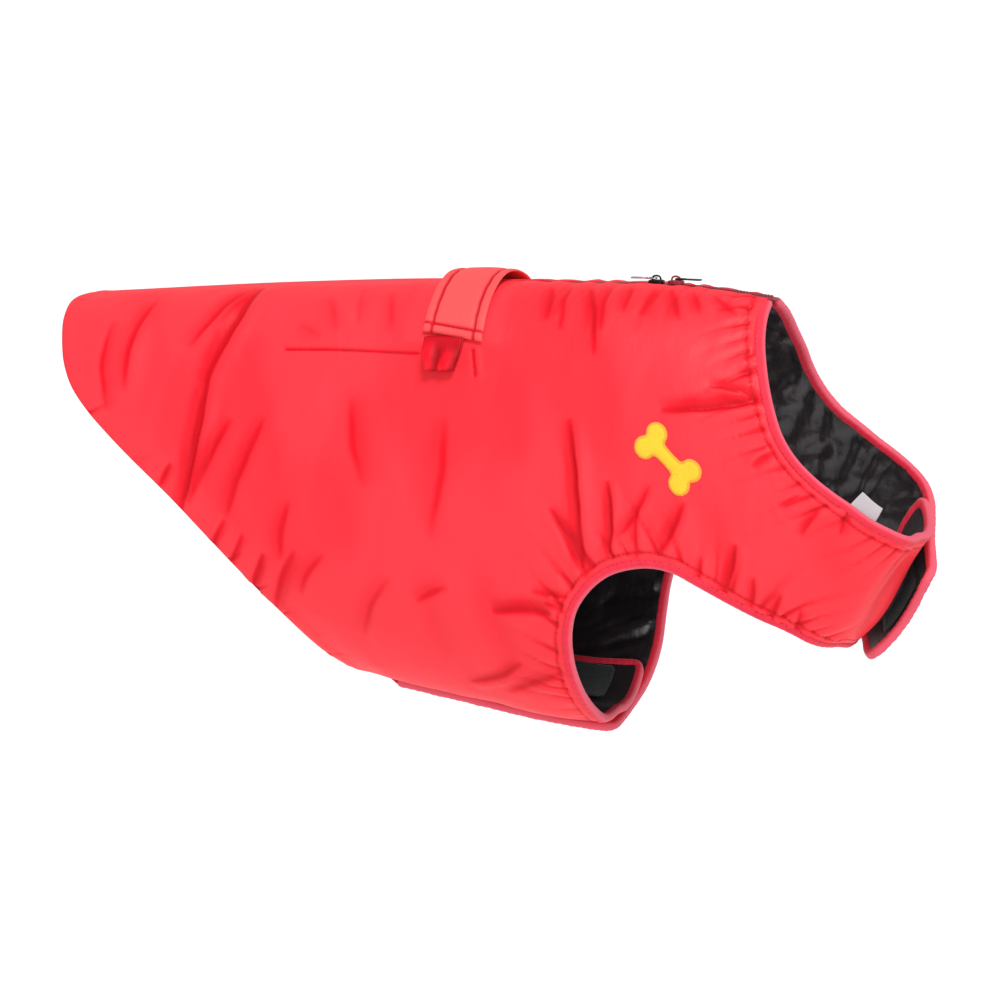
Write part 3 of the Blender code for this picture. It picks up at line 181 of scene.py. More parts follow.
# lean is 1 for a fold whose front side stands over it, -1 for its rear side.
FOLD_COLUMNS = ("from_along", "from_round", "to_along", "to_round",
                "depth", "width", "bow", "lean")
FOLDS = {
    "right": (
        (291, 0.06, 311, 0.31, 3, 11, 3, 1),
        (308, 0.28, 325, 0.59, 3.8, 9, 2, 1),
        (300, 0.075, 322, 0.24, 1.3, 9, 1, 1),
        (353, 0.11, 358, 0.35, 1.3, 9, -3, 1),
        (374, 0.18, 369, 0.4, 1, 9, -3, -1),
        (293, 0.37, 319, 0.56, 1.3, 9, -1.5, 1),
        (273, 0.36, 298, 0.57, 1.2, 9, -1.5, 1),
        (310, 0.655, 299, 0.57, 1.8, 5, 0.6, 1),
        (300, 0.672, 289, 0.59, 1.6, 5, -0.6, 1),
        (289.5, 0.722, 277, 0.62, 2.2, 6, 0.6, 1),
        (278, 0.75, 258, 0.6, 1.4, 8, 1.5, 1),
        (337, 0.54, 329, 0.48, 1.7, 5.5, 0.8, 1),
        (259, 0.51, 267, 0.63, 0.9, 9, -2, 1),
        (239, 0.6, 258, 0.69, 0.9, 9, -2, 1),
        (102, 0.32, 102, 0.568, 2.9, 8.5, 1.2, 1),
        (114, 0.465, 101, 0.583, 2.2, 7, 1, -1),
        (89, 0.423, 93, 0.552, 2.9, 6.5, 2, 1),
        (64, 0.48, 77, 0.556, 1.8, 8, 1, 1),
        (74, 0.44, 89, 0.52, 1.3, 6, 1.5, 1),
        (80, 0.47, 84, 0.56, 1.2, 5, -1, 1),
        (53, 0.575, 62.5, 0.655, 2.7, 6, 1, 1),
        (64, 0.575, 68, 0.625, 1.4, 4, 0, 1),
        (65, 0.322, 18, 0.336, 3.2, 8.5, -1.5, -1),
        (44, 0.285, 22, 0.328, 1.6, 6, 1, -1),
        (27, 0.262, 12, 0.256, 1.4, 4.5, 0.6, 1),
        (23, 0.238, 10, 0.19, 1.3, 4, -0.8, -1),
        (38, 0.455, 24, 0.443, 1.6, 4.5, 0.8, 1),
        (34, 0.54, 22, 0.545, 1.1, 4, 0, 1),
        (31, 0.615, 17, 0.592, 1.5, 4.5, 0.8, -1),
        (16, 0.662, 3, 0.628, 1.6, 4.5, 0.8, 1),
        (52, 0.64, 57, 0.695, 1.6, 5, 0.6, 1),
        (47, 0.69, 57, 0.745, 1.7, 5, 0.6, 1),
        (45, 0.735, 54, 0.8, 1.7, 5, 0.6, -1),
        (150, 0.65, 117, 0.64, 2.2, 9, 2, -1),
        (128, 0.605, 109, 0.612, 1.6, 5, -0.8, -1),
        (121, 0.622, 111, 0.64, 1.4, 4, 0.4, -1),
        (172, 0.825, 140, 0.742, 1.9, 7.5, -2, -1),
        (154, 0.83, 117, 0.75, 1.5, 9, 1, -1),
        (188, 0.66, 170, 0.62, 1, 9, 1, -1),
        (200, 0.62, 222, 0.75, 0.8, 10, -3, 1),
        (168, 0.33, 178, 0.54, 0.8, 12, 3, 1),
        (222, 0.31, 214, 0.47, 0.7, 12, -3, -1),
        (246, 0.105, 234, 0.195, 0.5, 10, 1, 1),
        (228, 0.08, 222, 0.185, 0.4, 9, -1, -1),
        (211, 0.085, 203, 0.19, 0.5, 10, 1, 1),
        (259, 0.175, 243, 0.205, 0.4, 9, 0.5, 1),
        (121, 0.05, 117, 0.15, 1.1, 8, 1.5, 1),
        (110, 0.045, 108, 0.17, 1, 7, -1, 1),
        (99, 0.05, 90, 0.215, 1.4, 8, 2, 1),
        (87, 0.045, 87, 0.17, 1.1, 7, -1, 1),
        (76, 0.045, 77, 0.13, 1, 7, 1, 1),
        (64, 0.045, 69, 0.135, 1.1, 7, 1, -1),
        (55, 0.045, 50, 0.145, 1.1, 7, 1, 1),
        (43, 0.05, 39, 0.12, 0.9, 6, 0.6, 1),
        (33, 0.055, 21, 0.12, 1.1, 6, 1, 1),
    ),
    "left": (
        (296, 0.07, 316, 0.33, 2.8, 10, -3, 1),
        (312, 0.29, 325, 0.58, 3.4, 9, -2, 1),
        (352, 0.12, 355, 0.36, 1.3, 9, 3, 1),
        (376, 0.16, 370, 0.36, 1, 9, 2, -1),
        (286, 0.34, 310, 0.54, 1.3, 9, 1.5, 1),
        (262, 0.4, 283, 0.58, 1.2, 9, 1.5, 1),
        (311, 0.65, 301, 0.565, 1.8, 5, 0.6, 1),
        (288, 0.728, 275, 0.62, 2.1, 6, 0.6, 1),
        (334, 0.545, 326, 0.485, 1.7, 5.5, -0.8, 1),
        (235, 0.52, 247, 0.66, 0.9, 9, 2, 1),
        (100, 0.33, 97, 0.566, 2.7, 8.5, -1.2, 1),
        (110, 0.47, 96, 0.584, 2, 7, -1, -1),
        (84, 0.43, 88, 0.552, 2.6, 6.5, 1.6, 1),
        (63, 0.485, 75, 0.556, 1.8, 8, 1, 1),
        (52, 0.58, 62, 0.655, 2.4, 6, 1, 1),
        (61, 0.35, 20, 0.345, 2.8, 8.5, 1.5, -1),
        (29, 0.262, 14, 0.25, 1.4, 4.5, 0.6, 1),
        (35, 0.46, 21, 0.45, 1.5, 4.5, 0.8, 1),
        (24, 0.605, 11, 0.59, 1.4, 4.5, -0.8, -1),
        (50, 0.64, 57, 0.695, 1.6, 5, 0.6, 1),
        (147, 0.645, 115, 0.632, 2, 9, -2, -1),
        (127, 0.6, 108, 0.608, 1.6, 5, 0.8, -1),
        (168, 0.81, 138, 0.735, 1.7, 7.5, 2, -1),
        (205, 0.6, 224, 0.74, 0.8, 10, -3, 1),
        (172, 0.36, 181, 0.53, 0.8, 12, -3, 1),
        (240, 0.095, 229, 0.19, 0.5, 10, -1, 1),
        (218, 0.085, 212, 0.18, 0.4, 9, 1, -1),
        (123, 0.05, 119, 0.14, 1.1, 8, -1.5, 1),
        (104, 0.045, 103, 0.18, 1, 7, 1, 1),
        (92, 0.05, 86, 0.205, 1.4, 8, -2, 1),
        (79, 0.045, 80, 0.14, 1, 7, 1, 1),
        (62, 0.045, 67, 0.13, 1.1, 7, -1, -1),
        (50, 0.045, 46, 0.15, 1.1, 7, -1, 1),
        (31, 0.055, 23, 0.115, 1, 6, 1, 1),
    ),
}
# Sewn lines on each side, apart from the edges: (from_along, from_round, to_along,
# to_round).  The long one is the flank welt and the short one a dart below the strap.
SEAMS = (
    (186.0, 0.227, 264.0, 0.230),
    (155.5, 0.214, 153.0, 0.257),
)
MOTIF_PLACE = (66.0, 0.403)
MOTIF_TURN = -38.0         # degrees
MOTIF_LENGTH = 40.0
MOTIF_BAR = 9.6
MOTIF_KNOB = 6.6

# Stitches: the length of one, the gap to the next and the thread's radius.
GATHER_STITCH = (2.3, 0.9, 0.24)
BINDING_STITCH = (2.1, 0.8, 0.2)
SEAM_STITCH = (2.3, 0.9, 0.2)
STRAP_STITCH = (2.4, 0.3, 0.22)

# --- Mesh
SIDES = {"right": -1.0, "left": 1.0}
EDGE_STEP = 1.5
OUTLINE_STEP = 2.2
SAME_PLACE = 0.2          # points this close are one
# Points inside a cloth face: lines that need finer ones, the wide and the fine step, and
# how far from the lines the fine ones reach.
SHELL_STEPS = (2.3, 1.2, 7.5)
LINING_SPREAD = ((), 2.4, 2.4, 0.0)
HIDDEN_SPREAD = ((), 16.0, 16.0, 0.0)

# --- Camera
VIEW_AZIMUTH = 20.0
VIEW_ELEVATION = 9.0
VIEW_DISTANCE = 1.9
VIEW_TARGET = (-0.0976, 0.0, -0.119)
SENSOR_WIDTH = 36.0
LENS_LENGTH = 123.12
FLOOR_HEIGHT = -0.56       # low enough for its shadow to fall below the picture
FLOOR_REACH = 60000.0
KEY_FROM = (42.0, 60.0)    # degrees round and above
FILL_FROM = (16.0, 12.0)   # low and frontal, so light reaches into the armholes


# --- Form: sections, and places on them
def smooth_step(value):
    """0 below 0, 1 above 1, and a soft slope between."""
    v = np.clip(value, 0.0, 1.0)
    return v * v * (3.0 - 2.0 * v)


def ramp(value, start, width):
    """0 up to start, 1 from start + width on, and a soft slope between."""
    return smooth_step((value - start) / width)


def hill(value, middle, width):
    """1 at the middle, a third at width from it, and fading out beyond."""
    return np.exp(-((value - middle) / width) ** 2)


def squared(value, power):
    """Bends a cosine or sine towards -1 and 1, so that a round turns into a rounded box."""
    return np.sign(value) * np.abs(value) ** power


def smooth_curve(known, values, wanted):
    """A smooth curve through (known, values), straight outside them."""
    known = np.asarray(known, float)
    values = np.asarray(values, float)
    wanted = np.asarray(wanted, float)
    step = np.diff(known)
    rise = np.diff(values) / step
    slope = np.empty(len(known))
    slope[0] = rise[0]
    slope[-1] = rise[-1]
    slope[1:-1] = (rise[:-1] * step[1:] + rise[1:] * step[:-1]) / (step[1:] + step[:-1])
    i = np.clip(np.searchsorted(known, wanted) - 1, 0, len(known) - 2)
    u = (wanted - known[i]) / step[i]
    within = (values[i] * (1 + 2 * u) * (1 - u) ** 2
              + values[i + 1] * u * u * (3 - 2 * u)
              + step[i] * (slope[i] * u * (1 - u) ** 2 + slope[i + 1] * u * u * (u - 1)))
    before = values[0] + slope[0] * (wanted - known[0])
    after = values[-1] + slope[-1] * (wanted - known[-1])
    return np.where(wanted < known[0], before, np.where(wanted > known[-1], after, within))


def read_off(table, columns, known, name, wanted):
    """A smooth curve through two named columns of a table, at the wanted places."""
    known, values = ([row[columns.index(k)] for row in table] for k in (known, name))
    return smooth_curve(known, values, wanted)


def section_value(name, along):
    """A named size of the sections at distances along the body."""
    return read_off(SECTIONS, SECTION_COLUMNS, "along", name, along)


FORM_START = -34.0
FORM_ALONG = np.arange(FORM_START, 446.0, 1.0)
FORM_ROUND = np.linspace(0.0, 1.0, 401)


def ends_of(along):
    """The top and the bottom of each section, as (x, z)."""
    return (np.stack([section_value(end + "_x", along), section_value(end + "_z", along)], 1)
            for end in ("top", "low"))


def section_table():
    """Width and depth down each section at even steps round it, and its half girth."""
    angles = np.linspace(0.0, math.pi, 361)
    top, low = ends_of(FORM_ALONG)
    height = np.linalg.norm(low - top, axis=1)[:, None]
    half_width = section_value("half_width", FORM_ALONG)[:, None]
    wide_at = section_value("wide_at", FORM_ALONG)[:, None]
    crown = 2.0 / section_value("crown", FORM_ALONG)[:, None]
    keel = 2.0 / section_value("keel", FORM_ALONG)[:, None]
    sine = np.abs(np.sin(angles))[None, :]
    cosine = np.abs(np.cos(angles))[None, :]
    upper = (angles <= math.pi / 2)[None, :]
    width = half_width * np.where(upper, sine ** crown, sine ** keel)
    down = np.where(upper, wide_at * (1 - cosine ** crown),
                    wide_at + (1 - wide_at) * cosine ** keel)
    step = np.hypot(np.diff(width, axis=1), np.diff(down * height, axis=1))
    length = np.concatenate([np.zeros((len(FORM_ALONG), 1)), np.cumsum(step, axis=1)], 1)
    rows = range(len(FORM_ALONG))
    even_width = [np.interp(FORM_ROUND, length[k] / length[k, -1], width[k]) for k in rows]
    even_down = [np.interp(FORM_ROUND, length[k] / length[k, -1], down[k]) for k in rows]
    return np.array(even_width), np.array(even_down), length[:, -1]


FORM_WIDTH, FORM_DOWN, FORM_GIRTH = section_table()


def half_girth(along):
    """How far it is round one side, from the spine to the middle of the belly."""
    return np.interp(along, FORM_ALONG, FORM_GIRTH)


def form_points(along, around, side):
    """Points of the form itself; around may pass 0 or 1 and goes on past it."""
    along = np.asarray(along, float)
    around = np.asarray(around, float)
    folded = np.where(around < 0, -around, np.where(around > 1, 2 - around, around))
    turned = np.where((around < 0) | (around > 1), -side, side)
    row = np.clip(along - FORM_START, 0.0, len(FORM_ALONG) - 1.001)
    spot = np.clip(folded * (len(FORM_ROUND) - 1), 0.0, len(FORM_ROUND) - 1.001)
    i = row.astype(int)
    j = spot.astype(int)
    u = row - i
    v = spot - j

    def look(table):
        return ((1 - u) * ((1 - v) * table[i, j] + v * table[i, j + 1])
                + u * ((1 - v) * table[i + 1, j] + v * table[i + 1, j + 1]))
    top, low = ends_of(along)
    x, z = (top + look(FORM_DOWN)[:, None] * (low - top)).T
    return np.stack([x, turned * look(FORM_WIDTH), z], 1)


def form_normals(along, around, side):
    """Outward directions, from small steps along and around the form."""
    probe = 1.5
    turn = 2.5 / half_girth(along)
    forward = form_points(along - probe, around, side) - form_points(along + probe, around, side)
    downward = form_points(along, around + turn, side) - form_points(along, around - turn, side)
    normal = side * np.cross(forward, downward)
    return normal / np.linalg.norm(normal, axis=1)[:, None]


def layer(panel, along, around):
    """How far a panel's strap and flap leave the form, minus inwards."""
    strap = 1.0 - ramp(along, 55.0, 30.0)
    if panel == "right":
        strap_tuck = smooth_step((around - STRAP_TUCK[0]) / (STRAP_TUCK[1] - STRAP_TUCK[0]))
        flap_tuck = smooth_step((around - FLAP_TUCK[0]) / (FLAP_TUCK[1] - FLAP_TUCK[0]))
        return -TUCK_DEPTH * (strap * strap_tuck + (1.0 - strap) * flap_tuck)
    reach = STRAP_END["left"] - STRAP_FLARE_START
    strap_flare = STRAP_FLARE * ramp(around, STRAP_FLARE_START, reach)
    flap_reach = FLAP_END["left"] - FLAP_FLARE_START
    flap_flare = FLAP_FLARE * ramp(around, FLAP_FLARE_START, flap_reach)
    return strap * strap_flare + (1.0 - strap) * flap_flare


def place(panel, along, around, out):
    """Points on a panel, out from the form by its layer and by out."""
    side = SIDES[panel]
    offset = layer(panel, along, around) + out
    points = form_points(along, around, side)
    return points + form_normals(along, around, side) * offset[:, None]


def spine_points(alongs, across, out):
    """Points over the spine: across is minus on the right and plus on the left."""
    alongs, across, out = np.broadcast_arrays(np.asarray(alongs, float), across, out)
    around = np.abs(across) / half_girth(alongs)
    right, left = (form_points(alongs, around, side)
                   + form_normals(alongs, around, side) * out[:, None] for side in (-1.0, 1.0))
    return np.where((across < 0)[:, None], right, left)


# --- Pattern: the form unrolled flat, as its cloth is cut
def unroll(along, around):
    """Flat pattern place of points given as (along, around)."""
    along = np.asarray(along, float)
    top, low = ends_of(along)
    direction = (low - top) / np.linalg.norm(low - top, axis=1)[:, None]
    return top + direction * (np.asarray(around) * half_girth(along))[:, None]


def guess_tree():
    """Known flat places, to start each search of roll_up from."""
    alongs, arounds = np.meshgrid(np.arange(-24.0, 437.0, 4.0), np.arange(-0.06, 1.40, 0.02),
                                  indexing="ij")
    alongs = alongs.ravel()
    arounds = arounds.ravel()
    tree = KDTree(len(alongs))
    for i, (x, z) in enumerate(unroll(alongs, arounds)):
        tree.insert((x, z, 0.0), i)
    tree.balance()
    return tree, alongs, arounds


GUESSES = guess_tree()


def roll_up(flat):
    """The (along, around) of flat pattern points, by Newton steps from known places."""
    tree, alongs, arounds = GUESSES
    nearest = [tree.find((x, z, 0.0))[1] for x, z in flat]
    along = alongs[nearest]
    around = arounds[nearest]
    for _ in range(5):
        here = unroll(along, around)
        by_along = (unroll(along + 0.5, around) - here) / 0.5
        by_around = (unroll(along, around + 0.002) - here) / 0.002
        miss = flat - here
        area = by_along[:, 0] * by_around[:, 1] - by_along[:, 1] * by_around[:, 0]
        along = along + (miss[:, 0] * by_around[:, 1] - miss[:, 1] * by_around[:, 0]) / area
        around = around + (by_along[:, 0] * miss[:, 1] - by_along[:, 1] * miss[:, 0]) / area
    return along, around


def run_lengths(line):
    """How far each point of a polyline is from its start, along it."""
    return np.concatenate([[0.0], np.cumsum(np.linalg.norm(np.diff(line, axis=0), axis=1))])


def at_lengths(line, wanted):
    """Points of a polyline at the wanted lengths along it."""
    lengths = run_lengths(line)
    return np.stack([np.interp(wanted, lengths, line[:, k]) for k in range(line.shape[1])], 1)


def walk(points, step):
    """The same polyline with a point about every step."""
    total = run_lengths(points)[-1]
    return at_lengths(points, np.linspace(0.0, total, max(2, int(round(total / step)) + 1)))


def smooth_path(points, step):
    """A smooth flat curve through points, with a point about every step."""
    knots = run_lengths(points)
    fine = np.linspace(0.0, knots[-1], int(knots[-1] / step) * 2 + 2)
    return walk(np.stack([smooth_curve(knots, points[:, k], fine) for k in (0, 1)], 1), step)


def rounded(first, second, radius):
    """Two flat edges that meet, trimmed back and joined by a soft corner."""
    corner = first[-1]
    first = first[:len(first) - int(np.argmax(np.linalg.norm(first[::-1] - corner, axis=1)
                                              > radius))]
    second = second[int(np.argmax(np.linalg.norm(second - second[0], axis=1) > radius)):]
    share = np.linspace(0.0, 1.0, max(4, int(radius * 1.4 / EDGE_STEP)))[1:-1, None]
    bend = ((1 - share) ** 2 * first[-1] + 2 * share * (1 - share) * corner
            + share ** 2 * second[0])
    half = len(bend) // 2
    return np.concatenate([first, bend[:half]]), np.concatenate([bend[half:], second])


def pattern_edges(panel):
    """The panel's cut edges, flat, in order round it, by name."""
    end = STRAP_END[panel]
    flap = FLAP_END[panel]
    spots = np.linspace(0.0, end, 90)
    neck_along = read_off(NECK_EDGE, NECK_COLUMNS, "round", panel + "_along", spots)
    neck = walk(unroll(neck_along, spots), EDGE_STEP)
    lower, lower_round = ([row[ARMHOLE_COLUMNS.index(name)] for row in ARMHOLE_EDGE]
                          for name in (panel + "_along", "round"))
    lower = [lower[0]] + lower + [lower[-1]]
    lower_round = [end] + lower_round + [flap]
    armhole = smooth_path(unroll(lower, lower_round), EDGE_STEP)
    spots = np.linspace(flap, 0.0, 140)
    hem_along = read_off(HEM_EDGE, HEM_COLUMNS, "round", "along", spots)
    hem = walk(unroll(hem_along, spots), EDGE_STEP)
    strap_end = walk(np.array([neck[-1], armhole[0]]), EDGE_STEP)
    flap_end = walk(np.array([armhole[-1], hem[0]]), EDGE_STEP)
    spots = np.linspace(hem_along[-1], 0.0, 120)
    spine = walk(unroll(spots, np.zeros(len(spots))), EDGE_STEP)
    neck, strap_end = rounded(neck, strap_end, STRAP_TOP_CORNER)
    strap_end, armhole = rounded(strap_end, armhole, STRAP_LOW_CORNER)
    armhole, flap_end = rounded(armhole, flap_end, FLAP_FRONT_CORNER)
    flap_end, hem = rounded(flap_end, hem, FLAP_REAR_CORNER)
    return {"neck": neck, "strap_end": strap_end, "armhole": armhole,
            "flap_end": flap_end, "hem": hem, "spine": spine}


def edge_insets(edges, bound, seam):
    """How far cloth starts inside each stretch of the true edge."""
    insets = []
    for name, line in edges.items():
        if name == "hem":
            from_corner = np.arange(len(line)) * EDGE_STEP
            insets.append(bound * (1.0 - smooth_step(from_corner / HEM_EASE)))
        elif name == "spine":
            along, _ = roll_up(line)
            zipped = 1.0 - smooth_step((along - ZIP_END - ZIP_TAIL) / 8.0)
            insets.append(seam + (ZIP_HALF_GAP - seam) * zipped)
        else:
            insets.append(np.full(len(line), bound))
    return insets


def closed_outline(edges, insets):
    """One loop of flat points, each moved inwards by its stretch's inset."""
    kept = []
    for (name, line), inset in zip(edges.items(), insets):
        for point, width in zip(line, inset):
            if not kept or np.linalg.norm(kept[-1][0] - point) >= SAME_PLACE:
                kept.append((point, width, name))
    if np.linalg.norm(kept[0][0] - kept[-1][0]) < SAME_PLACE:
        kept.pop()
    points, widths, labels = (np.array(part) for part in zip(*kept))
    ahead = np.roll(points, -1, axis=0) - points
    ahead /= np.linalg.norm(ahead, axis=1)[:, None]
    x, y = points.T
    turning = np.sum(x * np.roll(y, -1) - np.roll(x, -1) * y)
    inward_after = np.sign(turning) * np.stack([-ahead[:, 1], ahead[:, 0]], 1)
    inward_before = np.roll(inward_after, 1, axis=0)
    bend = np.sum(inward_after * inward_before, axis=1)
    moved = np.empty_like(points)
    for i in range(len(points)):
        if bend[i] > 0.8:
            mean = inward_after[i] + inward_before[i]
            mean /= np.linalg.norm(mean)
            moved[i] = points[i] + mean * widths[i]
        else:
            matrix = np.array([inward_before[i], inward_after[i]])
            moved[i] = points[i] + np.linalg.solve(matrix, [widths[i - 1], widths[i]])
    return moved, labels


def even_inset(edges, inset):
    """The closed outline, moved inwards by the same amount all round, and its labels."""
    return closed_outline(edges, [np.full(len(line), inset) for line in edges.values()])


def nearest_on(line, points):
    """Distance to an open polyline, the length along it, and which side, for each point."""
    start = line[:-1]
    run = line[1:] - start
    length = np.maximum(np.linalg.norm(run, axis=1), 1e-6)
    before = run_lengths(line)[:-1]
    tree = KDTree(len(line))
    for i, (x, y) in enumerate(line):
        tree.insert((x, y, 0.0), i)
    tree.balance()
    nearest = np.array([tree.find((x, y, 0.0))[1] for x, y in points], int)
    best = np.full(len(points), 1e9)
    position = np.zeros(len(points))
    hand = np.ones(len(points))
    for shift in (-1, 0):
        i = np.clip(nearest + shift, 0, len(start) - 1)
        away = points - start[i]
        share = np.clip(np.sum(away * run[i], axis=1) / length[i] ** 2, 0.0, 1.0)
        gap = np.linalg.norm(away - share[:, None] * run[i], axis=1)
        nearer = gap < best
        best[nearer] = gap[nearer]
        position[nearer] = (before[i] + share * length[i])[nearer]
        side = np.sign(run[i, 0] * away[:, 1] - run[i, 1] * away[:, 0])
        hand[nearer] = side[nearer]
    return best, position, hand


def loop_gap(loop, points):
    """Distance from each point to a closed flat loop."""
    return nearest_on(np.vstack([loop, loop[:1]]), points)[0]


def off_edges(edges, flat, start, width):
    """0 beside a panel's edges and 1 well inside them."""
    return ramp(nearest_on(np.vstack(list(edges.values())), flat)[0], start, width)


# --- Relief: gathers, folds and crumples
def soft_noise(x, y, seed):
    """Smooth uneven values from -1 to 1, about one swell for each unit of x and y."""
    table = np.random.default_rng(seed).uniform(-1.0, 1.0, (128, 128))
    i = np.floor(x).astype(int)
    j = np.floor(y).astype(int)
    u = smooth_step(x - i)
    v = smooth_step(y - j)
    a = table[i % 128, j % 128]
    b = table[(i + 1) % 128, j % 128]
    c = table[i % 128, (j + 1) % 128]
    d = table[(i + 1) % 128, (j + 1) % 128]
    return (a * (1 - u) + b * u) * (1 - v) + (c * (1 - u) + d * u) * v


def gather_phase(position, wave):
    """Uneven waves: the crests come at irregular steps along the edge."""
    drift = 0.30 * np.sin(position / 17.0) + 0.22 * np.sin(position / 7.3 + 1.0)
    return position / wave + drift


def uneven(phase, seed, low, high):
    """A value that wanders between low and high from one gather to the next."""
    values = np.random.default_rng(seed).uniform(low, high, 256)
    return np.interp(phase, np.arange(256) - 8.0, values)


def puff(phase):
    """Round crests with a sharp trough between them, from -1 to 1."""
    return 2.0 * np.abs(np.cos(math.pi * phase)) - 1.0


def fold_line(row):
    """A fold's flat middle line, and its sizes by name."""
    fold = dict(zip(FOLD_COLUMNS, row))
    ends = unroll([fold["from_along"], fold["to_along"]], [fold["from_round"], fold["to_round"]])
    run = ends[1] - ends[0]
    across = np.array([-run[1], run[0]]) / np.linalg.norm(run)
    middle = ends.mean(axis=0) + across * fold["bow"]
    return smooth_path(np.array([ends[0], middle, ends[1]]), 3.0), fold


def seam_line(row):
    """A sewn line's flat points."""
    return walk(unroll([row[0], row[2]], [row[1], row[3]]), 2.0)


def zip_side(edges):
    """The zipped stretch of a panel's spine edge."""
    return edges["spine"][-int(ZIP_END / EDGE_STEP):]


def edge_gathers(edges, flat, seed, height, reach_scale, wave_length):
    """Gathers beside the elastic edges: their height, and the painted shade in their troughs and
    along the gathering row.
    """
    raised = np.zeros(len(flat))
    depth = np.zeros(len(flat))
    for k, name in enumerate(("neck", "armhole")):
        gap, position, _ = nearest_on(edges[name], flat)
        beyond = np.maximum(gap - GATHER_CHANNEL, 0.0)
        slant = 0.42 * np.sin(position / 29.0 + seed + k)
        phase = gather_phase(position + slant * beyond, wave_length)
        reach = uneven(phase, seed + 10 * k, 4.0, 19.0) * reach_scale
        strength = uneven(phase, seed + 10 * k + 1, 0.15, 1.35)
        rise = ramp(gap, 6.2, 3.0)
        fade = np.exp(-(beyond / reach) ** 1.3)
        wave = puff(phase)
        raised += height * strength * wave * rise * fade
        depth += np.clip(-wave, 0.0, 1.0) * strength * rise * fade * (gap > GATHER_CHANNEL - 1)
        small = puff(2.0 * phase + 0.3 * np.sin(position / 5.1))
        raised += 0.22 * height * small * rise * hill(beyond, 0.0, 3.6)
        casing = np.clip((gap - CASING_EDGE) / (GATHER_CHANNEL - CASING_EDGE), 0.0, 1.0)
        raised += 0.35 * np.sin(casing * math.pi) * (gap < GATHER_CHANNEL)
        raised -= 0.5 * hill(gap, GATHER_CHANNEL, 0.9)
        depth += 0.45 * hill(gap, GATHER_CHANNEL, 1.0)
    return raised, depth


def folds(panel, flat):
    """Listed folds: each a trough with its cloth standing over one side of it."""
    raised = np.zeros(len(flat))
    depth = np.zeros(len(flat))
    for row in FOLDS[panel]:
        line, fold = fold_line(row)
        width = fold["width"]
        box = 3.0 * width
        near = np.all((flat > line.min(axis=0) - box) & (flat < line.max(axis=0) + box), axis=1)
        gap, position, hand = nearest_on(line, flat[near])
        share = np.clip(position / run_lengths(line)[-1], 0.0, 1.0)
        taper = np.sin(share * math.pi) ** 0.6
        past = np.exp(-(gap / width) ** 2 * ((share <= 0.0) | (share >= 1.0)) * 3.0)
        wander = 0.5 * np.sin(position / 6.0) + 0.4 * np.sin(position / 2.9 + 1.0)
        signed = gap * hand * fold["lean"] + wander * 0.35
        steep = np.where(signed > 0, 0.17, 0.52) * width
        trough = hill(signed, 0.0, steep)
        over = hill(signed, 0.58 * width, 0.42 * width)
        under = hill(signed, -1.05 * width, 0.6 * width)
        strength = fold["depth"] * taper * past
        raised[near] += strength * (0.75 * over + 0.30 * under - 0.62 * trough)
        # Painted shade: a narrow band in the trough and a broad one on its under side, which the
        # standing cloth shades.
        narrow = hill(signed, -0.04 * width, 0.20 * width)
        broad = hill(signed, -0.42 * width, 0.42 * width)
        strength = min(fold["depth"] / 2.0, 1.4) * taper * past
        depth[near] += strength * (narrow + 0.42 * broad)
    return raised, depth


def hem_puckers(edges, flat, seed):
    """Short uneven puckers where the plain hem is turned and sewn, and the painted shade in their
    troughs.
    """
    gap, position, _ = nearest_on(edges["hem"], flat)
    phase = position / 27.0 + 0.7 * np.sin(position / 41.0 + seed)
    strength = uneven(phase, seed + 31, 0.0, 1.0) ** 1.6
    narrow = np.abs(np.sin(math.pi * (phase + 0.012 * gap)))
    trough = hill(narrow, 0.0, 0.16) - 0.5 * hill(narrow, 0.34, 0.2)
    fade = np.exp(-(gap / uneven(phase, seed + 32, 7.0, 17.0)) ** 2)
    edge = 0.35 * hill(gap, 5.0, 2.6)
    return edge - 1.15 * strength * trough * fade, np.clip(strength * trough, 0, 1) * fade


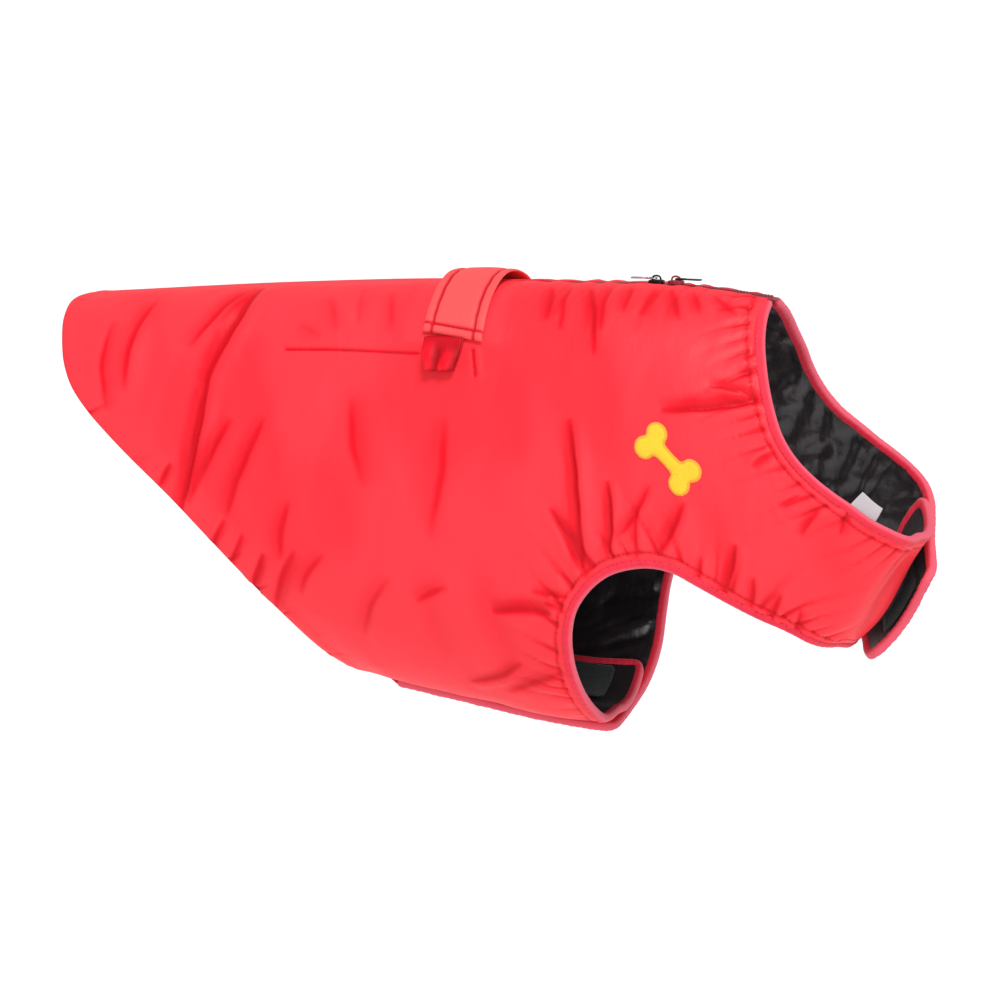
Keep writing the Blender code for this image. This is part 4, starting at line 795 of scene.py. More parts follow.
def relief(panel, flat, along, around, edges):
    """Height of a panel's outer face over the form, and the painted shade in its folds, gathers,
    puckers, seams and hollows.
    """
    cloth = bpy.context.scene.jacket_cloth
    seed = 3 if panel == "right" else 5
    raised, depth = edge_gathers(edges, flat, seed, cloth.gather_height, 1.0,
                                 GATHER_LENGTH)
    more, deeper = folds(panel, flat)
    raised += cloth.fold_strength * more
    depth += deeper
    more, deeper = hem_puckers(edges, flat, seed)
    raised += more
    depth += 0.7 * deeper

    gap, position, _ = nearest_on(zip_side(edges), flat)
    phase = gather_phase(position + 0.2 * gap * np.sin(position / 23.0), ZIP_GATHER_LENGTH)
    reach = uneven(phase, seed + 41, 0.45, 1.2) * ZIP_GATHER_REACH
    rise = ramp(gap, ZIP_HALF_GAP, 3.0)
    fade = rise * hill(gap, 0.0, reach)
    raised += (0.4 + 0.75 * uneven(phase, seed + 42, 0.2, 1.2) * puff(phase)) * fade
    # Painted shade in the troughs of the puckers beside the zip.
    depth += 0.3 * np.clip(-puff(phase) - 0.2, 0.0, 1.0) * fade

    x, z = flat.T
    swell = (1.25 * soft_noise(x / 44.0, z / 80.0, seed + 50)
             + 0.75 * soft_noise((x + 0.3 * z) / 19.0, z / 52.0, seed + 51)
             + 0.22 * soft_noise((x - 0.2 * z) / 8.0, z / 26.0, seed + 52))
    ridge = 1.0 - np.abs(soft_noise((x + 0.3 * z) / 13.0, z / 34.0, seed + 53)) * 2.0
    mask = smooth_step(soft_noise(x / 60.0, z / 60.0, seed + 54) * 1.5 + 0.3)
    crinkle = 0.28 * np.clip(ridge, 0.0, 1.0) ** 3 * mask
    inner = off_edges(edges, flat, 9.0, 14.0)
    raised += cloth.swell * (swell * inner + crinkle * smooth_step(inner * 3.0))
    # Painted shade in the hollows between swells.
    depth += 0.16 * np.clip(0.25 - swell, 0.0, 1.0) * inner

    for row in SEAMS:
        gap, _, hand = nearest_on(seam_line(row), flat)
        raised -= 0.75 * hill(gap, 0.0, 0.9)
        raised += 0.45 * hill(gap, 2.6, 1.8) * (hand > 0)
        # Painted shade in the seam's groove.
        depth += 0.9 * hill(gap, 0.0, 0.8)

    closure = ramp(around, 0.88, 0.08)
    raised *= 1.0 - (1.0 if panel == "right" else 0.55) * closure
    near_strap = ramp(along, 138.0, 8.0) * (1 - ramp(along, 192.0, 8.0))
    from_spine = around * half_girth(along)
    under = near_strap * (1 - ramp(from_spine, 63.0, 6.0))
    raised = raised * (1.0 - 0.9 * under)
    depth = depth * (1.0 - closure) * (1.0 - under)
    return np.clip(raised, -cloth.deepest, 4.2), np.clip(depth, 0.0, 1.0)


def lining_relief(panel, flat, along, around, edges):
    """How far the slack lining stands in from its plain face, and the painted shade in its
    creases.
    """
    cloth = bpy.context.scene.jacket_cloth
    seed = 71 if panel == "right" else 83
    raised, depth = edge_gathers(edges, flat, seed, 2.0 * cloth.gather_height, 2.8,
                                 LINING_GATHER_LENGTH)
    x, z = flat.T
    warp = 6.0 * soft_noise(x / 30.0, z / 30.0, seed + 3)
    broad = soft_noise((x - 0.3 * z) / 36.0, z / 46.0, seed + 1)
    fine = soft_noise((x + 0.4 * z) / 34.0, (z - 0.4 * x + warp) / 14.0, seed)
    sharp = soft_noise((x + 0.9 * z) / 30.0, (z - 0.9 * x + warp) / 11.0, seed + 2)
    small = soft_noise((x - 0.5 * z + warp) / 9.0, (z + 0.5 * x) / 13.0, seed + 4)
    crumple = 0.7 * broad - 0.55
    for height, ridge in ((0.9, fine), (0.7, sharp), (0.4, small)):
        crumple += height * (1.0 - np.abs(ridge) * 2.6).clip(0, 1) ** 1.5
    depth += 0.7 * np.clip(0.1 - crumple, 0.0, 1.0)
    raised += cloth.crumple * crumple * off_edges(edges, flat, 7.0, 10.0)
    start = 0.94 if panel == "right" else np.where(along < 62.0, 0.73, 0.82)
    closed = ramp(around, start, 0.05)
    raised *= 1.0 - closed
    return np.clip(raised, -0.6, 4.4), np.clip(depth, 0.0, 1.0) * (1.0 - closed)


# --- Meshes
def pick_loop(edges, insets, step):
    """Indices of outline points to keep: about one each step, and every corner.

    A point that its own inset leaves inside a neighbouring stretch's inset goes.
    """
    loop, labels = closed_outline(edges, insets)
    folded = np.zeros(len(loop), bool)
    for (name, line), inset in zip(edges.items(), insets):
        gap, position, _ = nearest_on(line, loop)
        need = np.interp(position, run_lengths(line), inset)
        folded |= (labels != name) & (gap < need - 0.05)
    kept = [0]
    travelled = 0.0
    for i in range(1, len(loop)):
        travelled += np.linalg.norm(loop[i] - loop[i - 1])
        if folded[i]:
            continue
        turn_a = loop[i] - loop[i - 1]
        turn_b = loop[(i + 1) % len(loop)] - loop[i]
        cosine = turn_a @ turn_b / (np.linalg.norm(turn_a) * np.linalg.norm(turn_b) + 1e-9)
        if travelled > 1.2 and (cosine < 0.8 or travelled >= step):
            kept.append(i)
            travelled = 0.0
    return kept


def even_points(loop, step):
    """An even spread of points inside a closed flat loop, row by row."""
    low = loop.min(axis=0)
    high = loop.max(axis=0)
    ax, ay = loop.T
    bx, by = np.roll(loop, -1, axis=0).T
    rows = []
    for k, z in enumerate(np.arange(low[1] + 0.31, high[1], step * 0.866)):
        cut = (ay > z) != (by > z)
        where = np.sort(ax[cut] + (z - ay[cut]) * (bx[cut] - ax[cut]) / (by[cut] - ay[cut]))
        xs = np.arange(low[0] + (k % 2) * step / 2, high[0], step)
        xs = xs[np.searchsorted(where, xs) % 2 == 1]
        rows.append(np.stack([xs, np.full(len(xs), z)], 1))
    return np.concatenate(rows)


def fine_points(loop, lines, coarse, fine, reach):
    """Points inside the loop, closer together beside the given lines."""
    def gap_to_lines(points):
        return np.min([nearest_on(line, points)[0] for line in lines], axis=0)
    wide = even_points(loop, coarse)
    kept = wide
    if lines:
        close = even_points(loop, fine)
        kept = np.concatenate([wide[gap_to_lines(wide) > reach + coarse * 0.45],
                               close[gap_to_lines(close) <= reach]])
    return kept[loop_gap(loop, kept) > 0.6 * fine]


def triangulate(loop, interior):
    """Triangles over the flat loop and its interior points, as index triples."""
    points = np.concatenate([loop, interior])
    result = delaunay_2d_cdt([tuple(p) for p in points], [], [list(range(len(loop)))], 1, 1e-6)
    sources = [origin[0] if origin else -1 for origin in result[3]]
    if -1 in sources:
        raise ValueError("a cloth outline crosses itself; widen the loop's steps")
    return points, [tuple(sources[i] for i in face) for face in result[2]]


def new_object(name, points, faces, material, smooth=True, values=None, pattern=None):
    """A mesh object from points in millimetres, with per-point values and flat places."""
    mesh = bpy.data.meshes.new(name)
    mesh.from_pydata([tuple(p) for p in np.asarray(points) * MM], [], faces)
    for key, numbers in (values or {}).items():
        attribute = mesh.attributes.new(key, "FLOAT", "POINT")
        attribute.data.foreach_set("value", np.asarray(numbers, np.float32))
    if pattern is not None:
        corners = np.empty(len(mesh.loops), np.int32)
        mesh.loops.foreach_get("vertex_index", corners)
        layer_uv = mesh.uv_layers.new(name="pattern")
        layer_uv.data.foreach_set("uv", (pattern[corners] * MM).astype(np.float32).ravel())
    work = bmesh.new()
    work.from_mesh(mesh)
    bmesh.ops.recalc_face_normals(work, faces=work.faces)
    work.to_mesh(mesh)
    work.free()
    mesh.materials.append(material)
    if smooth:
        mesh.shade_smooth()
    made = bpy.data.objects.new(name, mesh)
    bpy.context.scene.collection.objects.link(made)
    return made


def cloth_piece(name, panel, edges, insets, faces_of, rim, finish):
    """A closed cloth wall: two faces over the flat pattern, joined by a rounded rim.

    faces_of holds for the outer face and then the inner one its shape, which gives
    height and painted shade from flat places, and its spread of points; rim is a list of
    (extra inset, height) from the outer face to the inner one.
    """
    deepest = max(extra for extra, _ in rim)
    kept = pick_loop(edges, [inset + deepest for inset in insets], OUTLINE_STEP)
    rings = [closed_outline(edges, [inset + extra for inset in insets])[0][kept]
             for extra, _ in rim]
    count = len(kept)
    flats = []
    points = []
    depths = []
    faces = []
    for ring, (shape, spread), step in ((rings[0], faces_of[0], 1),
                                        (rings[-1], faces_of[1], -1)):
        start = sum(map(len, points))
        flat, triangles = triangulate(ring, fine_points(ring, *spread))
        along, around = roll_up(flat)
        height, depth = shape(flat, along, around)
        flats.append(flat)
        points.append(place(panel, along, around, height))
        depths.append(depth)
        faces += [tuple(start + i for i in face[::step]) for face in triangles]
    starts = [0]
    for ring, (_, height) in zip(rings[1:-1], rim[1:-1]):
        starts.append(sum(map(len, points)))
        flats.append(ring)
        points.append(place(panel, *roll_up(ring), height))
        # Painted shade: the rim's rings take it, as a darker line round the cut edge.
        depths.append(np.full(count, 0.7))
    starts.append(len(points[0]))
    for a, b in zip(starts, starts[1:]):
        for i in range(count):
            j = (i + 1) % count
            faces.append((a + i, a + j, b + j, b + i))
    return new_object(name, np.concatenate(points), faces, finish_of(finish),
                      values={"painted_shade_mask": np.concatenate(depths)},
                      pattern=np.concatenate(flats))


def plain(height):
    """The shape of a smooth face at one height."""
    def shape(flat, along, around):
        return height, np.zeros(len(flat))
    return shape


def shell_piece(panel, edges):
    """One side's outer cloth, with its gathers, folds and seams."""
    def outer(flat, along, around):
        return relief(panel, flat, along, around, edges)
    lines = [fold_line(row)[0] for row in FOLDS[panel]] + [seam_line(row) for row in SEAMS]
    lines += gather_channel(edges, GATHER_CHANNEL + 3.0).values()
    rim = ((1.1, 0.0), (0.45, -0.22), (0.0, -0.85), (0.0, -1.5), (0.5, -2.05),
           (1.2, SHELL_INNER))
    return cloth_piece(panel + "_shell_cloth", panel, edges,
                       edge_insets(edges, EDGE_TUCK, -0.1),
                       ((outer, (lines, *SHELL_STEPS)), (plain(SHELL_INNER), HIDDEN_SPREAD)),
                       rim, "taffeta_red")


def lining_piece(panel, edges):
    """One side's slack, shiny lining."""
    def inner(flat, along, around):
        height, depth = lining_relief(panel, flat, along, around, edges)
        return LINING_INNER - height, depth
    rim = ((0.9, LINING_OUTER), (0.2, LINING_OUTER - 0.15), (0.0, LINING_OUTER - 0.5),
           (0.2, LINING_INNER + 0.15), (0.9, LINING_INNER))
    return cloth_piece(panel + "_lining_cloth", panel, edges,
                       edge_insets(edges, EDGE_TUCK, 0.0),
                       ((plain(LINING_OUTER), HIDDEN_SPREAD), (inner, LINING_SPREAD)),
                       rim, "taffeta_black")


def gather_channel(edges, distance):
    """The neck and armhole lines, moved in from the edge."""
    moved, labels = even_inset(edges, distance)
    return {name: moved[labels == name] for name in ("neck", "armhole")}


def tube(rings, closed=False):
    """Points and faces of a lofted solid from rings of points, capped unless closed."""
    stations, sides, _ = rings.shape
    faces = []
    for i in range(stations if closed else stations - 1):
        for k in range(sides):
            a = i * sides + k
            b = i * sides + (k + 1) % sides
            c = ((i + 1) % stations) * sides + (k + 1) % sides
            d = ((i + 1) % stations) * sides + k
            faces.append((a, b, c, d))
    if not closed:
        faces.append(tuple(range(sides)))
        faces.append(tuple((stations - 1) * sides + k for k in range(sides)))
    return rings.reshape(-1, 3), faces


def slab(bottom, top):
    """Points and faces of a closed sheet from two equal grids of points."""
    rows, cols, _ = bottom.shape
    count = rows * cols
    faces = []
    for i in range(rows - 1):
        for j in range(cols - 1):
            a = i * cols + j
            quad = (a, a + 1, a + cols + 1, a + cols)
            faces.append(quad)
            faces.append(tuple(count + k for k in reversed(quad)))
    rim = [j for j in range(cols)]
    rim += [i * cols + cols - 1 for i in range(1, rows)]
    rim += [(rows - 1) * cols + j for j in range(cols - 2, -1, -1)]
    rim += [i * cols for i in range(rows - 2, 0, -1)]
    for i, a in enumerate(rim):
        b = rim[(i + 1) % len(rim)]
        faces.append((b, a, count + a, count + b))
    return np.concatenate([bottom.reshape(-1, 3), top.reshape(-1, 3)]), faces


def sheet_piece(name, bottom, top, shape, flat, finish, depth=None):
    """A closed sheet between two faces, each the points of a grid of that shape."""
    points, faces = slab(bottom.reshape(*shape, 3), top.reshape(*shape, 3))
    return new_object(name, points, faces, finish_of(finish),
                      values={} if depth is None else {"painted_shade_mask": depth},
                      pattern=np.tile(flat, (2, 1)))


def joined(parts):
    """One set of points and faces from several."""
    points = []
    faces = []
    start = 0
    for some, their in parts:
        points.append(some)
        faces += [tuple(start + i for i in face) for face in their]
        start += len(some)
    return np.concatenate(points), faces


def rows_of_thread(starts, ends, normals, radius, sides=6):
    """One mesh of small rounded rods, such as stitches, from their ends."""
    parts = []
    angles = 2 * math.pi * np.arange(sides) / sides
    stations = ((0.0, 0.35, -0.35), (0.16, 0.9, 0.05), (0.5, 1.0, 0.22), (0.84, 0.9, 0.05),
                (1.0, 0.35, -0.35))
    for start, end, normal in zip(starts, ends, normals):
        run = end - start
        side = np.cross(run, normal)
        side /= np.linalg.norm(side) + 1e-9
        rings = []
        for share, size, lift in stations:
            centre = start + run * share + normal * radius * lift
            rings.append([centre + radius * size * (math.cos(a) * side + math.sin(a) * normal)
                          for a in angles])
        parts.append(tube(np.array(rings)))
    return joined(parts)


def binding(panel, edges):
    """The elastic tape folded over the neck, strap, armhole and flap edges."""
    line = np.concatenate([edges[k] for k in ("neck", "strap_end", "armhole", "flap_end")])
    line = line[np.concatenate([[True], np.linalg.norm(np.diff(line, axis=0), axis=1)
                                > SAME_PLACE])]
    total = run_lengths(line)[-1]
    spots = np.arange(ZIP_HALF_GAP + 1.4, total - 0.5, 1.0)
    run = at_lengths(line, spots + 1.6) - at_lengths(line, spots - 1.6)
    across = np.stack([-run[:, 1], run[:, 0]], 1) / np.linalg.norm(run, axis=1)[:, None]
    inner_line, _ = even_inset(edges, 2.0)
    if np.mean(nearest_on(inner_line, at_lengths(line, spots) + across * 2.0)[0]) > 1.5:
        across = -across
    seed = 23 if panel == "right" else 29
    pucker = (0.20 * puff(gather_phase(spots, 4.3)) + 0.10 * np.sin(spots / 1.9 + seed)
              + 0.16 * soft_noise(spots / 9.0, spots * 0.0, seed))
    from_end = np.minimum(spots - spots[0], spots[-1] - spots)
    closing = np.sqrt(np.clip(from_end / 1.6, 0.12, 1.0))
    rings = []
    highlight_share = []
    sides = 20
    for k in range(sides):
        angle = 2 * math.pi * (k + 0.5) / sides
        sideways = BINDING_WIDTH / 2 * (1.0 + squared(math.cos(angle), 0.72) * closing)
        thick = BINDING_THICKNESS / 2 * closing * (1.0 + 0.06 * (sideways / BINDING_WIDTH - 0.5))
        out = BINDING_CENTRE + thick * squared(math.sin(angle), 0.66) * (1.0 + 0.3 * pucker)
        shift = 0.16 * pucker * (sideways / BINDING_WIDTH)
        along, around = roll_up(at_lengths(line, spots) + across * (sideways + shift)[:, None])
        rings.append(place(panel, along, around, out))
        # A painted highlight along the tape's folded edge.
        highlight_share.append(1.0 - ramp(sideways, 0.5, 1.5))
    points, faces = tube(np.stack(rings, 1))
    across_share = np.tile(np.arange(sides) / sides * 0.017, (len(spots), 1))
    pattern = np.stack([np.repeat(spots, sides), across_share.ravel() / MM], 1)
    return new_object(panel + "_binding_tape", points, faces, finish_of("binding_tape"),
                      values={"edge_highlight_mask": np.stack(highlight_share, 1).ravel()}, pattern=pattern)


# --- Closures, zip, strap and label
def closure_patch(name, panel, along_range, round_range, low, high, finish):
    """A closure patch with rounded corners and a pressed edge, lying along a panel."""
    shape = (max(12, int((along_range[1] - along_range[0]) / 1.4)), 40)
    u, v = np.meshgrid(*(np.linspace(-1.0, 1.0, count) for count in shape), indexing="ij")
    girth = half_girth(sum(along_range) / 2)
    halves = ((along_range[1] - along_range[0]) / 2,
              (round_range[1] - round_range[0]) * girth / 2)
    over = [np.clip(np.abs(share * half) - (half - PATCH_CORNER), 0.0, None) / PATCH_CORNER
            for share, half in zip((u, v), halves)]
    far = np.hypot(*over)
    pull_in = np.where(far > 1e-6, np.maximum(*over) / np.maximum(far, 1e-6), 1.0)
    px, pz = (np.sign(share) * (np.minimum(np.abs(share * half), half - PATCH_CORNER)
                                + PATCH_CORNER * beyond * pull_in)
              for share, half, beyond in zip((u, v), halves, over))
    along = (sum(along_range) / 2 + px).ravel()
    around = (sum(round_range) / 2 + pz / girth).ravel()
    edge = np.minimum(*(half - np.abs(share) * half
                        for share, half in zip((u, v), halves))).ravel()
    sunk = (high - low) * (0.35 * hill(edge, 1.8, 0.7) + 0.25 * hill(edge, 0.0, 0.5))
    outs = (low + sunk, high) if low < LINING_INNER else (low, high - sunk)
    bottom, top = (place(panel, along, around, out) for out in outs)
    return sheet_piece(name, bottom, top, shape, unroll(along, around), finish)


def spine_frame(along):
    """The spine's x, z and pitch at a distance from the nape."""
    here = form_points([along - 4.0, along, along + 4.0], [0.0] * 3, 1.0)
    slope = math.atan2(here[2, 2] - here[0, 2], here[0, 0] - here[2, 0])
    return here[1, 0], here[1, 2], slope


def on_spine(points, along, rise=0.0):
    """Points made round (0, 0, 0), set on the spine and pitched with it."""
    x, z, slope = spine_frame(along)
    x += rise * math.sin(slope)
    z += rise * math.cos(slope)
    cos = math.cos(slope)
    sin = math.sin(slope)
    return np.stack([x + points[:, 0] * cos + points[:, 2] * sin, points[:, 1],
                     z - points[:, 0] * sin + points[:, 2] * cos], 1)


def zip_tape():
    """The woven tape under the teeth, its tail running on past the last one."""
    alongs = np.arange(-0.5, ZIP_END + ZIP_TAIL, 1.5)
    half = ZIP_TAPE_HALF_WIDTH
    profile = [(across, ZIP_TAPE_OUTER - 0.5 * (abs(across) / half) ** 2)
               for across in np.linspace(-half, half, 13)]
    profile += [(across, ZIP_TAPE_INNER) for across in np.linspace(half, -half, 7)]
    rings = [spine_points(alongs, across, out) for across, out in profile]
    points, faces = tube(np.stack(rings, 1))
    flat = np.stack([np.repeat(alongs, len(profile)),
                     np.tile([across for across, _ in profile], len(alongs))], 1)
    return new_object("zip_tape_woven", points, faces, finish_of("zip_tape"), pattern=flat)


def zip_teeth():
    """Moulded coil teeth, two rows that mesh."""
    rods = []
    for hand in (-1.0, 1.0):
        alongs = np.arange(2.5 + (hand > 0) * TOOTH_PITCH / 2, ZIP_END - 3.0, TOOTH_PITCH)
        rods.append((spine_points(alongs, -0.35 * hand, -0.25),
                     spine_points(alongs, 2.15 * hand, -0.35),
                     form_normals(alongs, np.zeros(len(alongs)), hand)))
    points, faces = rows_of_thread(*(np.concatenate(part) for part in zip(*rods)),
                                   TOOTH_RADIUS, 8)
    return new_object("zip_teeth", points, faces, finish_of("zip_coil"))


def superellipse(half_wide, half_high, power, count):
    """Points round a rounded box section, as (across, up)."""
    angles = 2 * math.pi * (np.arange(count) + 0.5) / count
    return squared(np.cos(angles), power) * half_wide, squared(np.sin(angles), power) * half_high


def wire(path, radius, sides=12, closed=False):
    """A round wire along a path of points."""
    path = np.asarray(path, float)
    if closed:
        run = np.roll(path, -1, axis=0) - np.roll(path, 1, axis=0)
    else:
        run = np.gradient(path, axis=0)
    run /= np.linalg.norm(run, axis=1)[:, None]
    fixed = np.array([0.0, 1.0, 0.0]) if np.ptp(path[:, 1]) < 1e-6 else np.array([0.0, 0.0, 1.0])
    side = np.cross(run, fixed)
    side /= np.linalg.norm(side, axis=1)[:, None]
    up = np.cross(side, run)
    angles = 2 * math.pi * np.arange(sides) / sides
    rings = [path + radius * (math.cos(a) * side + math.sin(a) * up) for a in angles]
    return tube(np.stack(rings, 1), closed)


def slider(name, along, finish):
    """A zip slider: a rounded two-plate body with a bridge of wire over it."""
    base = ZIP_TAPE_OUTER + SEAM_GAP
    rings = []
    for share in np.linspace(0.0, 1.0, 22):
        wide = SLIDER_TAIL + (SLIDER_WIDTH - SLIDER_TAIL) * smooth_step(share / 0.6)
        from_end = min(share, 1 - share)
        end = 0.65 + 0.35 * (min(1.0, math.sin(from_end * 9.0)) if from_end < 0.17 else 1.0)
        across, up = superellipse(wide / 2 * end, SLIDER_HEIGHT / 2 * end, 0.5, 28)
        waist = 1.0 - 0.13 * hill(up, 0.0, 0.45)
        rings.append(np.stack([np.full(28, (share - 0.5) * SLIDER_LENGTH), across * waist,
                               base + SLIDER_HEIGHT / 2 + up], 1))
    turns = np.linspace(-0.15, math.pi + 0.15, 19)
    arch = np.stack([BRIDGE_REACH * 0.83 * np.cos(turns), np.zeros(19),
                     base + SLIDER_HEIGHT - 0.3
                     + (BRIDGE_HEIGHT - 0.25) * squared(np.sin(turns), 0.6)], 1)
    points, faces = joined([tube(np.array(rings)), wire(arch, BRIDGE_RADIUS)])
    return new_object(name + "_slider_cast", on_spine(points, along), faces, finish_of(finish))


def pull(name, along, way, finish):
    """A slider's pull: a wire link through the bridge and a flat tab with a bead edge."""
    rise = ZIP_TAPE_OUTER + SEAM_GAP + SLIDER_HEIGHT + PULL_THICKNESS / 2 + PULL_LIFT
    half = PULL_NECK / 2 - 0.4
    turns = np.linspace(0.0, 2 * math.pi, 33)[:-1]
    link = np.stack([PULL_EYE / 2 + 0.25 + (PULL_EYE / 2 + 0.3) * squared(np.cos(turns), 0.5),
                     half * squared(np.sin(turns), 0.5), np.zeros(32)], 1)
    rings = []
    for share in np.linspace(0.0, 1.0, 19):
        wide = PULL_NECK + (PULL_WIDTH - PULL_NECK) * smooth_step(share * 1.3)
        end = math.sqrt(max(0.04, 1.0 - abs(2 * share - 1.0) ** 7))
        across, up = superellipse(wide / 2 * end, PULL_THICKNESS / 2 * (0.6 + 0.4 * end), 0.6, 24)
        sunk = 0.2 * np.exp(-(across / (wide * 0.3)) ** 4) * (0.15 < share < 0.88)
        rings.append(np.stack([np.full(24, PULL_EYE + (PULL_LENGTH - PULL_EYE) * share),
                               across, up - np.sign(up) * sunk], 1))
    points, faces = joined([wire(link, PULL_THICKNESS / 2, 12, True), tube(np.array(rings))])
    points = points * np.array([way, 1.0, 1.0])
    return new_object(name + "_pull_tab", on_spine(points, along, rise), faces,
                      finish_of(finish))


def strap_reach(alongs):
    """How far down each side the back strap comes, longer at its front."""
    return BACK_STRAP_REACH + BACK_STRAP_SLANT * (1.0 - (alongs - BACK_STRAP_FRONT)
                                                  / BACK_STRAP_WIDTH)


def strap_places(alongs, acrosses):
    """Bottom and top heights of the back strap at places over it, and its sewn grooves, which
    also carry painted shade.
    """
    edge_row, end_row = STRAP_ROWS
    lift = 0.9 + (BACK_STRAP_LIFT - 0.9) * hill(acrosses, 0.0, 26.0)
    half = BACK_STRAP_WIDTH / 2
    from_edge = half - np.abs(alongs - BACK_STRAP_FRONT - half)
    from_end = strap_reach(alongs) - np.abs(acrosses)
    near = np.minimum(from_edge, from_end)
    full = np.sqrt(np.clip(1.0 - (1.0 - np.clip(near / 1.3, 0.0, 1.0)) ** 2, 0.03, 1.0))
    groove = np.minimum(hill(from_edge, edge_row, 0.8) + hill(from_end, end_row, 0.8), 1.0)
    pucker = (0.16 * np.sin(acrosses / 1.7 + 1.2 * np.sin(acrosses / 9.0))
              * hill(from_edge, edge_row, 2.4))
    padding = (0.75 * hill(from_end, 2.4, 2.3) + 0.28 * hill(from_edge, 2.6, 1.7)
               + 0.5 * ramp(near, 5.0, 4.0) - 0.7 * groove + pucker
               + 0.35 * soft_noise(alongs / 15.0, acrosses / 13.0, 97))
    middle = lift + BACK_STRAP_THICKNESS / 2
    return (middle - full * BACK_STRAP_THICKNESS / 2,
            middle + full * (BACK_STRAP_THICKNESS / 2 + padding), groove)


def back_strap():
    """The loop strap across the back, turned and sewn at its edges and ends."""
    share = np.linspace(-1.0, 1.0, 61)
    alongs = BACK_STRAP_FRONT + BACK_STRAP_WIDTH / 2 * (
        1.0 + np.sin(share * math.pi / 2) * 0.35 + share * 0.65)
    reach = np.linspace(-1.0, 1.0, 169)
    acrosses = BACK_STRAP_REACH * (np.sin(reach * math.pi / 2) * 0.12 + reach * 0.88)
    grid = np.meshgrid(alongs, acrosses, indexing="ij")
    along, across = (part.ravel() for part in grid)
    across = across * strap_reach(along) / BACK_STRAP_REACH
    low, high, depth = strap_places(along, across)
    bottom, top = (spine_points(along, across, out) for out in (low, high))
    # The sewn grooves on its top face take painted shade.
    return sheet_piece("back_strap_cloth", bottom, top, grid[0].shape,
                       np.stack([along, across], 1), "taffeta_strap",
                       np.concatenate([depth * 0, depth]))


def gather_loop():
    """The crumpled cloth loop that hangs below the back strap's right end."""
    share, turn = np.meshgrid(np.linspace(-1.0, 1.0, 41), np.linspace(0.0, 1.0, 49),
                              indexing="ij")
    top = LOOP_TOP - 1.8
    drop = top + (LOOP_TOP + LOOP_DROP - top) * np.sin(turn * math.pi * 0.97)
    rise = (LOOP_ROOT + (LOOP_RISE - LOOP_ROOT) * smooth_step(turn)
            * (1.0 - 0.35 * ramp(turn, 0.75, 0.25)))
    crease = (soft_noise(share * 1.5 + 3.0, turn * 3.0, 61)
              + 0.5 * soft_noise(share * 3.4, turn * 5.0 + 2.0, 62)
              + 0.6 * np.sin(share * 4.6 + turn * 5.0))
    away = crease * ramp(turn, 0.25, 0.3) * (1.0 - ramp(turn, 0.8, 0.2))
    squeeze = 1.0 - 0.32 * ((drop - top) / LOOP_DROP).clip(0, 1) ** 2.0
    along = LOOP_ALONG + share * LOOP_WIDTH / 2 * squeeze + 0.9 * away
    run = np.gradient(drop, axis=1)
    climb = np.gradient(rise, axis=1)
    length = np.hypot(run, climb) + 1e-9
    layers = []
    for half in (-0.5, 0.5):
        down = drop + 0.4 * away - half * climb / length
        out = rise + away + half * run / length
        layers.append(spine_points(along.ravel(), -down.ravel(), out.ravel()))
    flat = np.stack([share.ravel() * LOOP_WIDTH / 2, turn.ravel() * 26.0], 1)
    # Painted shade over the whole loop, deeper where its creases turn in.
    depth = np.clip(0.35 - 0.5 * away, 0.0, 1.0).ravel()
    return sheet_piece("gathered_loop_cloth", *layers, share.shape, flat, "taffeta_loop",
                       np.tile(depth, 2))


def label():
    """A small blank care label, sewn in behind the right neck edge."""
    around, drop = np.meshgrid(np.linspace(*LABEL_ROUND, 25), np.linspace(0, 1, 15),
                               indexing="ij")
    alongs = (read_off(NECK_EDGE, NECK_COLUMNS, "round", "right_along", around) + LABEL_ROOT
              - LABEL_HEIGHT * drop * (1.0 - 0.12 * (around - LABEL_ROUND[0]) / 0.085))
    curl = 1.3 * np.sin(drop * 2.6 + 0.4) * (around - sum(LABEL_ROUND) / 2) / 0.04
    out = LABEL_OUT - LABEL_LEAN * drop + curl * drop
    low = place("right", alongs.ravel(), around.ravel(), out.ravel())
    grid = low.reshape(*around.shape, 3)
    normal = np.cross(grid[12, 14] - grid[12, 0], grid[20, 7] - grid[4, 7])
    normal /= np.linalg.norm(normal)
    flat = np.stack([around.ravel() * 300.0, drop.ravel() * LABEL_HEIGHT], 1)
    return sheet_piece("care_label", low, low + normal * LABEL_THICKNESS, around.shape, flat,
                       "label_satin")


# --- Sewing and motif
def stitch_row(line, stitch, points_of, normals_of):
    """Rods for one row of stitches along a flat line, whose points and outward
    directions are given from flat places."""
    length, gap, radius = stitch
    first = np.arange(gap, run_lengths(line)[-1] - length, length + gap)
    starts, ends = (points_of(at_lengths(line, spots)) for spots in (first, first + length))
    return rows_of_thread(starts, ends, normals_of(at_lengths(line, first)), radius)


def stitches_on_panel(panel, edges, line, lift, stitch, cover=None):
    """One row on a panel's cloth, or on a tape whose outer face lies at cover."""
    def points_of(flat):
        along, around = roll_up(flat)
        height = relief(panel, flat, along, around, edges)[0] if cover is None else cover
        return place(panel, along, around, height + lift)

    def normals_of(flat):
        return form_normals(*roll_up(flat), SIDES[panel])
    return stitch_row(line, stitch, points_of, normals_of)


def panel_sewing(panel, edges):
    """The gathering rows, the rows on the binding and the rows on the seams."""
    top = BINDING_CENTRE + BINDING_THICKNESS / 2
    rows = [(line[5:-5], 0.06, GATHER_STITCH, None)
            for line in gather_channel(edges, GATHER_CHANNEL).values()]
    rows += [(line[4:-4], -0.34, BINDING_STITCH, top)
             for line in gather_channel(edges, BINDING_WIDTH - 1.0).values()]
    rows += [(seam_line(row), 0.12, SEAM_STITCH, None) for row in SEAMS]
    points, faces = joined([stitches_on_panel(panel, edges, *row) for row in rows])
    return new_object(panel + "_sewing", points, faces, finish_of("thread_red"))


